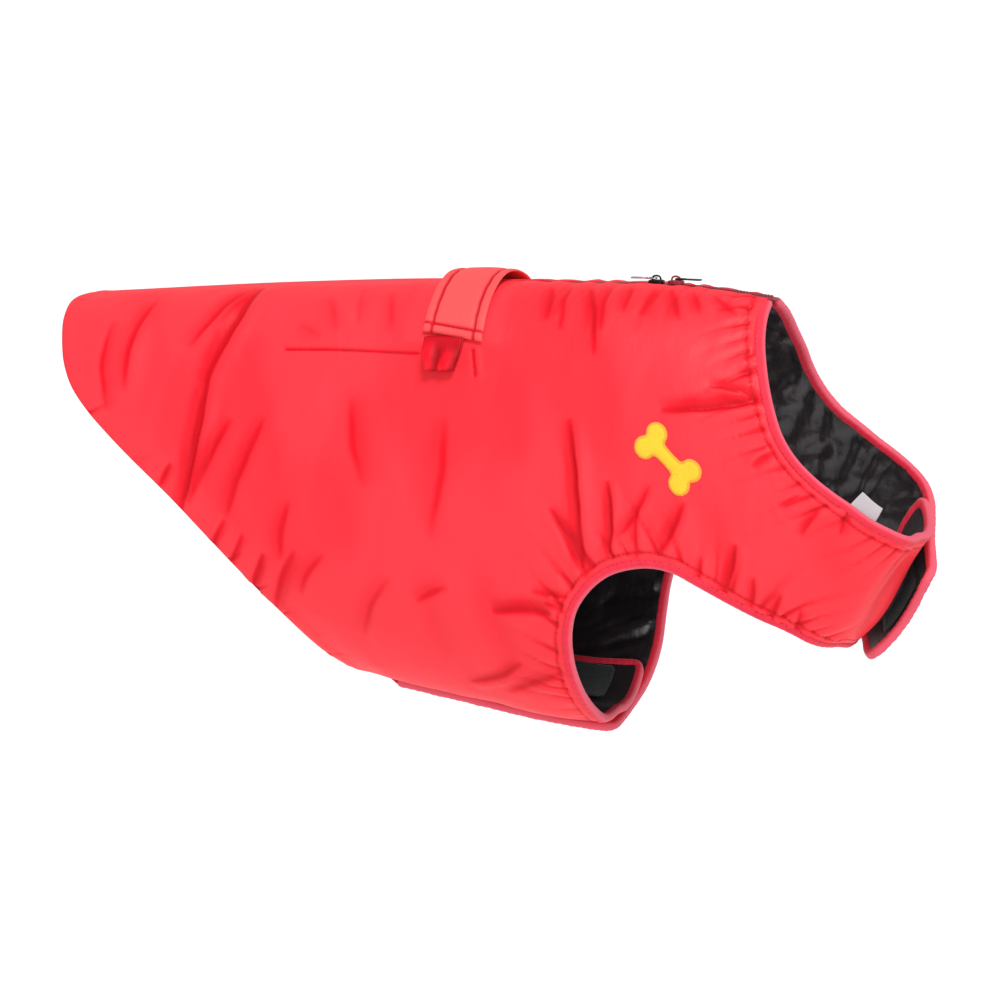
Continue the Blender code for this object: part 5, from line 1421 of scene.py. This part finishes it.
def strap_sewing():
    """The rows round the back strap."""
    def points_of(flat):
        along, across = flat.T
        return spine_points(along, across, strap_places(along, across)[1] + 0.08)

    def normals_of(flat):
        along, across = flat.T
        normals = form_normals(along, np.abs(across) / half_girth(along), -1.0)
        normals[:, 1] *= np.where(across > 0, -1.0, 1.0)
        return normals
    edge_row, end_row = STRAP_ROWS
    corners = []
    for along in (BACK_STRAP_FRONT + edge_row, BACK_STRAP_FRONT + BACK_STRAP_WIDTH - edge_row):
        reach = strap_reach(along) - end_row
        corners += [(along, -reach), (along, reach)]
    corners = np.array(corners)
    points, faces = joined([stitch_row(corners[[i, j]], STRAP_STITCH, points_of, normals_of)
                            for i, j in ((0, 1), (2, 3), (0, 2), (1, 3))])
    return new_object("back_strap_sewing", points, faces, finish_of("thread_dark"))


def bone_outline():
    """The bone motif's closed outline about its own middle, as points."""
    knob = np.array([MOTIF_LENGTH / 2 - MOTIF_KNOB, 0.82 * MOTIF_KNOB])
    start = math.pi - math.asin((MOTIF_BAR / 2 - knob[1]) / MOTIF_KNOB)
    finish = -math.asin(0.82)
    turns = np.linspace(start, finish, 40)
    quarter = knob + MOTIF_KNOB * np.stack([np.cos(turns), np.sin(turns)], 1)
    quarter = np.vstack([[0.0, MOTIF_BAR / 2 - 0.5], quarter])
    upper = np.vstack([quarter, quarter[::-1][1:] * [1.0, -1.0]])
    whole = np.vstack([upper, (upper[::-1] * [-1.0, 1.0])[1:-1]])
    outline = walk(np.vstack([whole, whole[:1]]), 0.6)[:-1]
    for _ in range(6):
        outline = (np.roll(outline, 1, axis=0) + 2 * outline + np.roll(outline, -1, axis=0)) / 4
    return outline


def motif(edges):
    """A plain embroidered bone: a padded block of satin stitch in a corded edge."""
    outline = bone_outline()
    local, triangles = triangulate(outline, even_inside(outline, 0.75))
    depth = loop_gap(outline, local)
    turn = math.radians(MOTIF_TURN)
    centre = unroll([MOTIF_PLACE[0]], [MOTIF_PLACE[1]])[0]
    spin = np.array([[math.cos(turn), -math.sin(turn)], [math.sin(turn), math.cos(turn)]])
    flat = centre + local @ spin.T
    along, around = roll_up(flat)
    height = relief("right", flat, along, around, edges)[0]
    raised = 0.95 * np.sqrt(np.clip(1.0 - (1.0 - np.clip(depth / 1.7, 0.0, 1.0)) ** 2, 0, 1))
    raised += 0.25 * ramp(depth, 1.5, 3.0)
    ditch = 0.22 * hill(depth, 1.75, 0.35)
    stand = np.where(depth > 0.05, 0.15 + raised - ditch, -0.25)
    top = place("right", along, around, height + stand)
    low = place("right", along, around, height - 0.45)
    count = len(top)
    faces = list(triangles) + [tuple(count + i for i in face[::-1]) for face in triangles]
    ring = len(outline)
    for i in range(ring):
        j = (i + 1) % ring
        faces.append((i, j, count + j, count + i))
    rim = 1.0 - ramp(depth, 1.3, 0.6)
    return new_object("bone_motif", np.concatenate([top, low]), faces,
                      finish_of("embroidery_yellow"),
                      values={"outline_band": np.tile(rim, 2)}, pattern=np.tile(local, (2, 1)))


def even_inside(outline, step):
    """Even points inside an outline, clear of it."""
    points = even_points(outline, step)
    return points[loop_gap(outline, points) > 0.5 * step]


# --- Finishes
def linear(colour):
    """A linear colour from an sRGB hex value, or from the name of a jacket colour."""
    if not colour.startswith("#"):
        colour = getattr(bpy.context.scene.jacket_colours, colour)
    parts = [int(colour[i:i + 2], 16) / 255.0 for i in (1, 3, 5)]
    return [p / 12.92 if p <= 0.04045 else ((p + 0.055) / 1.055) ** 2.4 for p in parts] + [1.0]


def connect(node, sockets):
    """Sets a node's inputs to values, or links them to (node, output)."""
    for key, value in sockets.items():
        if isinstance(value, tuple) and hasattr(value[0], "outputs"):
            node.id_data.links.new(value[0].outputs[value[1]], node.inputs[key])
        else:
            node.inputs[key].default_value = value


def add(tree, kind, sockets=(), **settings):
    """A node with its settings, and its inputs set to values or linked to (node, output)."""
    made = tree.nodes.new("ShaderNode" + kind)
    for key, value in settings.items():
        setattr(made, key, value)
    connect(made, dict(sockets))
    return made


# A Mix node's setting for colours: its factor is input 0, and its colours are 6 and 7.
COLOURS = {"data_type": "RGBA"}


def bands(millimetres):
    """A wave texture's scale for bands that far apart on a pattern in metres."""
    return 2 * math.pi / (20.0 * millimetres * MM)


def blank(name, on_pattern=True):
    """A new material, its tree, and where its textures lie: on the flat pattern, or on
    the piece as it stands."""
    material = bpy.data.materials.new(name)
    material.use_nodes = True
    tree = material.node_tree
    if on_pattern:
        return material, tree, (add(tree, "UVMap", uv_map="pattern"), "UV")
    return material, tree, (add(tree, "TexCoord"), "Object")


def finished(material, colour, normal=None, **values):
    """The material, with its shader's colour, normal and other inputs set or linked."""
    sockets = {key.replace("_", " "): value for key, value in values.items()}
    sockets["Base Color"] = (colour, 2)
    if normal:
        sockets["Normal"] = (normal, "Normal")
    connect(material.node_tree.nodes["Principled BSDF"], sockets)
    return material


def woven(tree, where, crinkle, crinkle_size, fine):
    """A plain weave over fine crinkles, from pattern places: the crinkles and the bump.
    Threads are 0.1 mm apart and are drawn 1.1 mm apart, so that they show."""
    wide = add(tree, "TexNoise", {"Vector": where, "Scale": 1.0 / (crinkle_size * MM),
                                  "Detail": 4.0, "Roughness": 0.55})
    stretched = add(tree, "Mapping", {"Vector": where, "Scale": (1.0, 0.35, 1.0)})
    creased = add(tree, "TexNoise", {"Vector": (stretched, "Vector"),
                                     "Scale": 1.0 / (fine * MM), "Detail": 2.0,
                                     "Roughness": 0.6})
    folded = add(tree, "Math", {0: (creased, "Fac"), 1: 0.5}, operation="SUBTRACT")
    folded = add(tree, "Math", {0: (folded, 0)}, operation="ABSOLUTE")
    warp, weft = (add(tree, "TexWave", {"Vector": where, "Scale": bands(1.1)},
                      bands_direction=way) for way in "XY")
    weave = add(tree, "Math", {0: (warp, "Fac"), 1: (weft, "Fac")}, operation="ADD")
    bump = add(tree, "Bump", {"Strength": 1.0, "Distance": crinkle * MM,
                              "Height": (wide, "Fac")})
    for distance, height in ((-crinkle * 0.9, folded), (0.012, weave)):
        bump = add(tree, "Bump", {"Strength": 1.0, "Distance": distance * MM,
                                  "Height": (height, 0), "Normal": (bump, "Normal")})
    return wide, bump


def taffeta_red(name, warm, cool, folded):
    """Nylon taffeta, plain woven and dyed, over thin wadding: smooth, a soft sheen
    along its swells, and painted shade in its folds: a deeper, purer red where the
    mask of painted shade is high."""
    material, tree, where = blank(name)
    wide, bump = woven(tree, where, 0.30, 16.0, 7.0)
    fold = add(tree, "Attribute", attribute_name="painted_shade_mask")
    uneven_dye = add(tree, "TexNoise", {"Vector": where, "Scale": 1.0 / (55 * MM),
                                        "Detail": 3.0})
    tone = add(tree, "Mix", {0: (uneven_dye, "Fac"), 6: linear(warm), 7: linear(cool)}, **COLOURS)
    # Painted shade: the red goes to the fold red and then to the deepest red as the mask rises.
    hollow = add(tree, "MapRange", {"Value": (fold, "Fac"), 2: 0.5})
    red = add(tree, "Mix", {0: (hollow, 0), 6: (tone, 2), 7: linear(folded)}, **COLOURS)
    bottom = add(tree, "MapRange", {"Value": (fold, "Fac"), 1: 0.55, 4: 0.85})
    red = add(tree, "Mix", {0: (bottom, 0), 6: (red, 2), 7: linear("shell_deepest_shade")}, **COLOURS)
    rough = add(tree, "MapRange", {"Value": (wide, "Fac"), 3: 0.40, 4: 0.54})
    return finished(material, red, bump, IOR=1.53, Roughness=(rough, 0), Sheen_Weight=0.03,
                    Sheen_Roughness=0.4, Sheen_Tint=linear("#FFC8C8"), Specular_IOR_Level=0.16)


def taffeta_black(name):
    """Polyester taffeta lining, calendered: black with a silky shine on its creases."""
    material, tree, where = blank(name)
    bump = woven(tree, where, 0.50, 13.0, 9.0)[1]
    tone = add(tree, "TexNoise", {"Vector": where, "Scale": 1.0 / (30 * MM), "Detail": 3.0})
    black = add(tree, "Mix", {0: (tone, "Fac"), 6: linear("#1D171A"),
                              7: linear("#2B2327")}, **COLOURS)
    fold = add(tree, "Attribute", attribute_name="painted_shade_mask")
    # Painted shade: the lining goes near black in its creases, by the mask of painted shade.
    black = add(tree, "Mix", {0: (fold, "Fac"), 6: (black, 2), 7: linear("#050405")}, **COLOURS)
    return finished(material, black, bump, IOR=1.57, Roughness=0.33, Sheen_Weight=0.05,
                    Specular_IOR_Level=0.5)


def binding_tape(name):
    """Elastic binding, knitted polyester over rubber, folded and sewn: fine ribs across
    it, and a paler, greyer painted highlight along its folded edge."""
    material, tree, where = blank(name)
    edge = add(tree, "Attribute", attribute_name="edge_highlight_mask")
    ribs = add(tree, "TexWave", {"Vector": where, "Scale": bands(0.95), "Distortion": 0.6,
                                 "Detail": 1.0, "Detail Scale": 3.0}, bands_direction="X")
    worn = add(tree, "TexNoise", {"Vector": where, "Scale": 1.0 / (6 * MM), "Detail": 3.0})
    tone = add(tree, "Mix", {0: (worn, "Fac"), 6: linear("binding"),
                             7: linear("binding_dark")}, **COLOURS)
    # Painted highlight: paler and greyer along the folded edge.
    pale = add(tree, "Math", {0: (edge, "Fac"), 1: 0.75}, operation="MULTIPLY")
    face = add(tree, "Mix", {0: (pale, 0), 6: (tone, 2), 7: linear("binding_highlight")}, **COLOURS)
    soft = add(tree, "Bump", {"Distance": 0.10 * MM, "Height": (ribs, "Fac")})
    fuzz = add(tree, "Bump", {"Distance": 0.12 * MM, "Height": (worn, "Fac"),
                              "Normal": (soft, "Normal")})
    return finished(material, face, fuzz, IOR=1.53, Roughness=0.62, Sheen_Weight=0.06,
                    Sheen_Roughness=0.5, Specular_IOR_Level=0.25)


def pile(name, dark, light, size, height, rough, sheen):
    """A napped closure tape: a field of fine loops or hooks, drawn at the size given."""
    material, tree, where = blank(name)
    cells = add(tree, "TexVoronoi", {"Vector": where, "Scale": 1.0 / (size * MM)})
    clumps = add(tree, "TexNoise", {"Vector": where, "Scale": 1.0 / (4 * MM), "Detail": 4.0})
    tone = add(tree, "Mix", {0: (clumps, "Fac"), 6: linear(dark), 7: linear(light)}, **COLOURS)
    bump = add(tree, "Bump", {"Distance": -height * MM, "Height": (cells, "Distance")})
    bump = add(tree, "Bump", {"Distance": height * MM, "Height": (clumps, "Fac"),
                              "Normal": (bump, "Normal")})
    return finished(material, tone, bump, Roughness=rough, Sheen_Weight=sheen,
                    Specular_IOR_Level=0.25)


def threaded(name, colour, rough, specular):
    """Sewing or weaving thread: twisted polyester, with a fine uneven tone."""
    material, tree, where = blank(name, False)
    tone = add(tree, "TexNoise", {"Vector": where, "Scale": 1.0 / (2.4 * MM), "Detail": 3.0})
    dark = [c * 0.62 for c in linear(colour)[:3]] + [1.0]
    mixture = add(tree, "Mix", {0: (tone, "Fac"), 6: dark, 7: linear(colour)}, **COLOURS)
    bump = add(tree, "Bump", {"Distance": 0.08 * MM, "Height": (tone, "Fac")})
    return finished(material, mixture, bump, Roughness=rough, Specular_IOR_Level=specular,
                    Sheen_Weight=0.1)


def ribbed(name, dark, light, spacing, height, slant, rough):
    """A flat woven tape with straight ribs, drawn as far apart as they need to show."""
    material, tree, where = blank(name)
    turned = add(tree, "Mapping", {"Vector": where, "Rotation": (0.0, 0.0, slant)})
    ribs = add(tree, "TexWave", {"Vector": (turned, "Vector"), "Scale": bands(spacing)})
    tone = add(tree, "Mix", {0: (ribs, "Fac"), 6: linear(dark), 7: linear(light)}, **COLOURS)
    bump = add(tree, "Bump", {"Distance": height * MM, "Height": (ribs, "Fac")})
    return finished(material, tone, bump, Roughness=rough, Sheen_Weight=0.2)


def cast_metal(name, dark, light, metallic, rough):
    """Die-cast zinc, plated or painted: fine grain, scuffed a little brighter."""
    material, tree, where = blank(name, False)
    grain = add(tree, "TexNoise", {"Vector": where, "Scale": 1.0 / (1.6 * MM), "Detail": 4.0})
    tone = add(tree, "Mix", {0: (grain, "Fac"), 6: linear(dark), 7: linear(light)}, **COLOURS)
    scuffs = add(tree, "MapRange", {"Value": (grain, "Fac"), 3: rough * 0.8, 4: rough * 1.3})
    bump = add(tree, "Bump", {"Distance": 0.02 * MM, "Height": (grain, "Fac")})
    return finished(material, tone, bump, Metallic=metallic, Roughness=(scuffs, 0))


def embroidery_yellow(name):
    """Rayon embroidery thread in satin stitch: glossy yellow, warmer orange along its outline.
    Stitches are 0.4 mm apart and are drawn at 0.8 mm, so that they show."""
    material, tree, where = blank(name)
    edge = add(tree, "Attribute", attribute_name="outline_band")
    rows = add(tree, "TexWave", {"Vector": where, "Scale": bands(0.8), "Distortion": 0.5,
                                 "Detail": 1.0}, bands_direction="X")
    tone = add(tree, "Mix", {0: (rows, "Fac"), 6: linear("#E8B400"),
                             7: linear("motif")}, **COLOURS)
    warm = add(tree, "Mix", {0: (edge, "Fac"), 6: (tone, 2), 7: linear("motif_edge")}, **COLOURS)
    bump = add(tree, "Bump", {"Distance": 0.16 * MM, "Height": (rows, "Fac")})
    return finished(material, warm, bump, Roughness=0.42, Sheen_Weight=0.15,
                    Specular_IOR_Level=0.5)


def studio_paper(name):
    """Seamless studio paper, matt and near white."""
    material, tree, where = blank(name, False)
    grain = add(tree, "TexNoise", {"Vector": where, "Scale": 400.0})
    tone = add(tree, "Mix", {0: (grain, "Fac"), 6: linear("#FDFDFD"),
                             7: linear("#FFFFFF")}, **COLOURS)
    return finished(material, tone, Roughness=0.9, Specular_IOR_Level=0.1)


# Each finish's maker, the material's name, and its colours and measures.
FINISHES = {
    "taffeta_red": (taffeta_red, "nylon_taffeta_red", "shell_warm", "shell_cool", "shell_fold"),
    # The same cloth pressed flat and sewn double in the back strap, painted a little paler
    # for the light it catches on the top of the back: a painted highlight. Its folds take a
    # red of painted shade.
    "taffeta_strap": (taffeta_red, "nylon_taffeta_strap", "strap", "strap", "#D82030"),
    # The same cloth unpadded and doubled in the loop, painted a purer, deeper red for the
    # shade it hangs in under the strap, and darker again in its creases: painted shade.
    "taffeta_loop": (taffeta_red, "nylon_taffeta_loop", "loop", "loop", "#A40012"),
    "taffeta_black": (taffeta_black, "polyester_taffeta_black"),
    "binding_tape": (binding_tape, "elastic_binding_tape"),
    # Nylon loop tape, brushed: a soft, matt, dark green-grey nap.
    "loop_pile": (pile, "nylon_loop_pile", "#141C1B", "#26342F", 0.7, 0.22, 0.9, 0.3),
    # Nylon hook tape, moulded in rows: black and slightly glossy between its hooks.
    "hook_tape": (pile, "nylon_hook_tape", "#08080A", "#17171A", 0.9, 0.30, 0.5, 0.1),
    # Spun polyester sewing thread, dyed to match and darker than the cloth.
    "thread_red": (threaded, "spun_thread_red", "#B81228", 0.6, 0.3),
    # The same thread in the heavier rows, made darker as painted shade, so that they read
    # as dark red lines in their sewn grooves.
    "thread_dark": (threaded, "spun_thread_dark_red", "#A41026", 0.6, 0.2),
    # Nylon coil teeth, wound and heat set: maroon, with a dull gloss.
    "zip_coil": (threaded, "nylon_zip_coil", "#8E2A3C", 0.38, 0.5),
    # Polyester zip tape, herringbone woven: matt maroon with fine slanting ribs.
    "zip_tape": (ribbed, "herringbone_zip_tape", "#6E1C2C", "#A8384A", 1.0, 0.08, 0.8, 0.7),
    # Die-cast zinc, black nickel plated: dark, with a soft mirror shine.
    "slider_black": (cast_metal, "black_nickel_zinc", "#1A1416", "#3A2E31", 0.85, 0.28),
    # Die-cast zinc, enamelled maroon to match its tape.
    "slider_red": (cast_metal, "enamelled_zinc_red", "#7A1424", "#A4283A", 0.0, 0.35),
    # Die-cast zinc, nickel plated: silver.
    "pull_metal": (cast_metal, "nickel_plated_zinc", "#B4B2B0", "#DAD8D6", 1.0, 0.24),
    # Woven polyester satin label, left blank: pale grey with fine lengthwise ribs.
    "label_satin": (ribbed, "woven_satin_label", "#A9A3A7", "#C9C4C7", 0.9, 0.05, 0.0, 0.45),
    "embroidery_yellow": (embroidery_yellow, "rayon_satin_stitch"),
    "studio_paper": (studio_paper, "studio_paper"),
}
MADE = {}


def finish_of(name):
    """The named finish's material, made once."""
    if name not in MADE:
        maker, *told = FINISHES[name]
        MADE[name] = maker(*told)
    return MADE[name]


# --- Settings
class JacketCloth(bpy.types.PropertyGroup):
    """How full and how creased the cloth is."""
    gather_height: FloatProperty(
        name="Gather height", description="Height of the gathers at bound edges, in mm",
        default=1.0, min=0.0, max=2.0)
    fold_strength: FloatProperty(
        name="Fold strength", description="Depth of the placed folds, as a share",
        default=0.8, min=0.0, max=1.5, subtype="FACTOR")
    swell: FloatProperty(
        name="Swell", description="Unevenness of the wadding under the cloth, as a share",
        default=1.0, min=0.0, max=2.0, subtype="FACTOR")
    crumple: FloatProperty(
        name="Lining crumple", description="Height of the slack lining's crumples, in mm",
        default=1.15, min=0.0, max=2.5)
    deepest: FloatProperty(
        name="Deepest trough", description="How far a trough may go into the cloth, in mm",
        default=1.75, min=0.5, max=2.0)


class JacketColours(bpy.types.PropertyGroup):
    """The jacket's colours, as sRGB hex values."""
    shell_warm: StringProperty(name="Shell", description="The shell's main red",
                               default="#F63843")
    shell_cool: StringProperty(name="Shell, second", description="The shell's uneven dye",
                               default="#F2303C")
    # Painted shade: the red painted in folds, and the red painted at their bottoms.
    shell_fold: StringProperty(name="Shell in folds", description="The red deep in a fold",
                               default="#E00A20")
    shell_deepest_shade: StringProperty(name="Shell, deepest", description="At a fold's bottom",
                               default="#C40016")
    # Painted highlight: the strap's red is a paler copy of the shell's, for the light it catches.
    strap: StringProperty(name="Back strap", description="The strap across the back",
                          default="#FA5252")
    # Painted shade: the loop's red is a deeper copy of the shell's, for the shade under the
    # strap.
    loop: StringProperty(name="Loop", description="The cloth loop under the back strap",
                         default="#F00A24")
    binding: StringProperty(name="Binding", description="The elastic binding's face",
                            default="#EE2C44")
    binding_dark: StringProperty(name="Binding, second", description="Its darker ribs",
                                 default="#D81E38")
    # Painted highlight on the binding's folded edge.
    binding_highlight: StringProperty(name="Binding edge", description="Its stretched fold",
                                 default="#DC6074")
    motif: StringProperty(name="Motif", description="The embroidered motif",
                          default="#FAD426")
    # A warmer orange in a band along the motif's outline.
    motif_edge: StringProperty(name="Motif edge", description="Its corded edge",
                               default="#F0A01E")


class JacketStage(bpy.types.PropertyGroup):
    """Light on the stage."""
    key_strength: FloatProperty(name="Key light", description="Strength of the soft key",
                                default=2.6, min=0.0)
    fill_strength: FloatProperty(name="Fill light", description="Strength of the low fill",
                                 default=0.7, min=0.0)
    key_width: FloatProperty(name="Light width", description="How wide the two lights are",
                             default=math.radians(28.0), unit="ROTATION")
    world_strength: FloatProperty(name="Surround", description="Brightness of the surround",
                                  default=0.40, min=0.0)


# --- Operators
EDGES = {panel: pattern_edges(panel) for panel in SIDES}


def dress(piece, body, slot, *nodes):
    """A piece rides on its body and stands for its solids; slot is not used."""
    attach(piece, body)
    if nodes:
        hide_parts(*nodes)
    return piece


def dress_sides(make, slot):
    """The same piece for each side, standing for that side's solid."""
    for panel, edges in EDGES.items():
        dress(make(panel, edges), "jacket", slot, panel + "_" + slot)


def cut_of(edges):
    """The flat cut's width and length in metres, and its area."""
    outline, _ = even_inset(edges, 0.0)
    span = np.ptp(outline, axis=0) * MM
    x, y = outline.T * MM
    area = abs(np.sum(x * np.roll(y, -1) - np.roll(x, -1) * y)) / 2
    return (float(span[1]), float(span[0])), float(area)


class JACKET_OT_shells(bpy.types.Operator):
    """Make the two sides' outer cloth"""
    bl_idname = "jacket.shells"
    bl_label = "Shells"

    def execute(self, context):
        dress_sides(shell_piece, "shell")
        return {"FINISHED"}


class JACKET_OT_linings(bpy.types.Operator):
    """Make the two sides' lining"""
    bl_idname = "jacket.linings"
    bl_label = "Linings"

    def execute(self, context):
        dress_sides(lining_piece, "lining")
        return {"FINISHED"}


class JACKET_OT_bindings(bpy.types.Operator):
    """Make the elastic tape on the bound edges"""
    bl_idname = "jacket.bindings"
    bl_label = "Bindings"

    def execute(self, context):
        dress_sides(binding, "binding")
        return {"FINISHED"}


class JACKET_OT_closures(bpy.types.Operator):
    """Make the hook, loop and facing patches on the straps and flaps"""
    bl_idname = "jacket.closures"
    bl_label = "Closures"

    def execute(self, context):
        under = LINING_INNER - PATCH_GAP - HOOK_THICKNESS
        for name, (along, left_round, right_round) in CLOSURES.items():
            for panel, kind, rounds, low, finish, slot in (
                    ("left", "hook", left_round, under, "hook_tape", "hook"),
                    ("right", "pile", right_round, SEAM_GAP, "hook_tape", "hook"),
                    ("right", "facing", right_round, under, "loop_pile", "facing")):
                node = "_".join((panel, name, kind))
                dress(closure_patch(node + "_patch", panel, along, rounds, low,
                                    low + HOOK_THICKNESS, finish), "jacket", slot, node)
        return {"FINISHED"}


class JACKET_OT_zip(bpy.types.Operator):
    """Make the zip: tape, teeth, sliders and pulls"""
    bl_idname = "jacket.zip"
    bl_label = "Zip"

    def execute(self, context):
        dress(zip_tape(), "jacket", "zip_tape", "zip_tape")
        dress(zip_teeth(), "jacket", "zip_tape")
        for name, (along, way, body_finish, pull_finish) in SLIDERS.items():
            body_slot = "dark_metal" if name == "rear" else "painted_metal"
            pull_slot = "metal" if name == "rear" else "dark_metal"
            dress(slider(name, along, body_finish), "jacket", body_slot, name + "_slider")
            dress(pull(name, along, way, pull_finish), name + "_pull_tab", pull_slot,
                  name + "_pull")
        return {"FINISHED"}


class JACKET_OT_back_strap(bpy.types.Operator):
    """Make the loop strap across the back and the cloth loop under its end"""
    bl_idname = "jacket.back_strap"
    bl_label = "Back Strap"

    def execute(self, context):
        dress(back_strap(), "jacket", "shell", "back_strap")
        dress(gather_loop(), "jacket", "shell", "gathered_loop")
        return {"FINISHED"}


class JACKET_OT_label(bpy.types.Operator):
    """Make the blank label inside the neck"""
    bl_idname = "jacket.label"
    bl_label = "Label"

    def execute(self, context):
        dress(label(), "jacket", "label", "label")
        return {"FINISHED"}


class JACKET_OT_sewing(bpy.types.Operator):
    """Make the stitches that show"""
    bl_idname = "jacket.sewing"
    bl_label = "Sewing"

    def execute(self, context):
        for panel, edges in EDGES.items():
            dress(panel_sewing(panel, edges), "jacket", "binding")
        dress(strap_sewing(), "jacket", "binding")
        return {"FINISHED"}


class JACKET_OT_motif(bpy.types.Operator):
    """Make the embroidered bone on the right side"""
    bl_idname = "jacket.motif"
    bl_label = "Motif"

    def execute(self, context):
        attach(motif(EDGES["right"]), "jacket")
        return {"FINISHED"}


class JACKET_OT_declare(bpy.types.Operator):
    """Work out the flat size and area of each side's cut, without using them"""
    bl_idname = "jacket.declare"
    bl_label = "Cut Sizes"

    def execute(self, context):
        for panel, edges in EDGES.items():
            flat, area = cut_of(edges)
        return {"FINISHED"}


def view_way(azimuth, elevation):
    """The direction towards a place at these degrees round and above the jacket."""
    across = math.radians(azimuth)
    up = math.radians(elevation)
    return Vector((math.sin(across) * math.cos(up), -math.cos(across) * math.cos(up),
                   math.sin(up)))


class JACKET_OT_stage(bpy.types.Operator):
    """Make the floor, the lights and the camera"""
    bl_idname = "jacket.stage"
    bl_label = "Stage"

    def execute(self, context):
        scene = context.scene
        scene.view_settings.view_transform = "Standard"
        points = [(x * FLOOR_REACH, y * FLOOR_REACH, FLOOR_HEIGHT / MM)
                  for x, y in ((-1, -1), (1, -1), (1, 1), (-1, 1))]
        new_object("floor", points, [(0, 1, 2, 3)], finish_of("studio_paper"), False)
        world = bpy.data.worlds.new("white_surround")
        world.use_nodes = True
        surround = world.node_tree.nodes["Background"]
        surround.inputs["Color"].default_value = (1.0, 1.0, 1.0, 1.0)
        surround.inputs["Strength"].default_value = scene.jacket_stage.world_strength
        scene.world = world
        target = Vector(VIEW_TARGET)
        stage = scene.jacket_stage
        for name, way, strength in (("key_light", KEY_FROM, stage.key_strength),
                                    ("fill_light", FILL_FROM, stage.fill_strength)):
            light = bpy.data.lights.new(name, "SUN")
            light.energy = strength
            light.angle = stage.key_width
            lamp = bpy.data.objects.new(name, light)
            lamp.rotation_mode = "QUATERNION"
            lamp.rotation_quaternion = view_way(*way).to_track_quat("Z", "Y")
            scene.collection.objects.link(lamp)
        back = view_way(VIEW_AZIMUTH, VIEW_ELEVATION)
        lens = bpy.data.cameras.new("photo_camera")
        lens.sensor_width = SENSOR_WIDTH
        lens.lens = LENS_LENGTH
        camera = bpy.data.objects.new("photo_camera", lens)
        camera.location = target + back * VIEW_DISTANCE
        camera.rotation_mode = "QUATERNION"
        camera.rotation_quaternion = (-back).to_track_quat("-Z", "Y")
        scene.collection.objects.link(camera)
        scene.camera = camera
        return {"FINISHED"}


STEPS = (JACKET_OT_stage, JACKET_OT_shells, JACKET_OT_linings, JACKET_OT_bindings,
         JACKET_OT_closures, JACKET_OT_zip, JACKET_OT_back_strap, JACKET_OT_label,
         JACKET_OT_sewing, JACKET_OT_motif, JACKET_OT_declare)
GROUPS = (("jacket_cloth", JacketCloth), ("jacket_colours", JacketColours),
          ("jacket_stage", JacketStage))


class JACKET_PT_sidebar(bpy.types.Panel):
    """Settings and steps of the dog jacket"""
    bl_label = "Dog Jacket"
    bl_idname = "JACKET_PT_sidebar"
    bl_space_type = "VIEW_3D"
    bl_region_type = "UI"
    bl_category = "Dog Jacket"

    def draw(self, context):
        for name, group in GROUPS:
            box = self.layout.box()
            for key in group.__annotations__:
                box.prop(getattr(context.scene, name), key)
        for step in STEPS:
            self.layout.operator(step.bl_idname)


def register():
    for name, group in GROUPS:
        bpy.utils.register_class(group)
        setattr(bpy.types.Scene, name, PointerProperty(type=group))
    for step in STEPS:
        bpy.utils.register_class(step)
    bpy.utils.register_class(JACKET_PT_sidebar)


def unregister():
    bpy.utils.unregister_class(JACKET_PT_sidebar)
    for step in reversed(STEPS):
        bpy.utils.unregister_class(step)
    for name, group in reversed(GROUPS):
        delattr(bpy.types.Scene, name)
        bpy.utils.unregister_class(group)


def main():
    register()
    for step in STEPS:
        group, name = step.bl_idname.split(".")
        getattr(getattr(bpy.ops, group), name)()


if __name__ == "__main__":
    main()
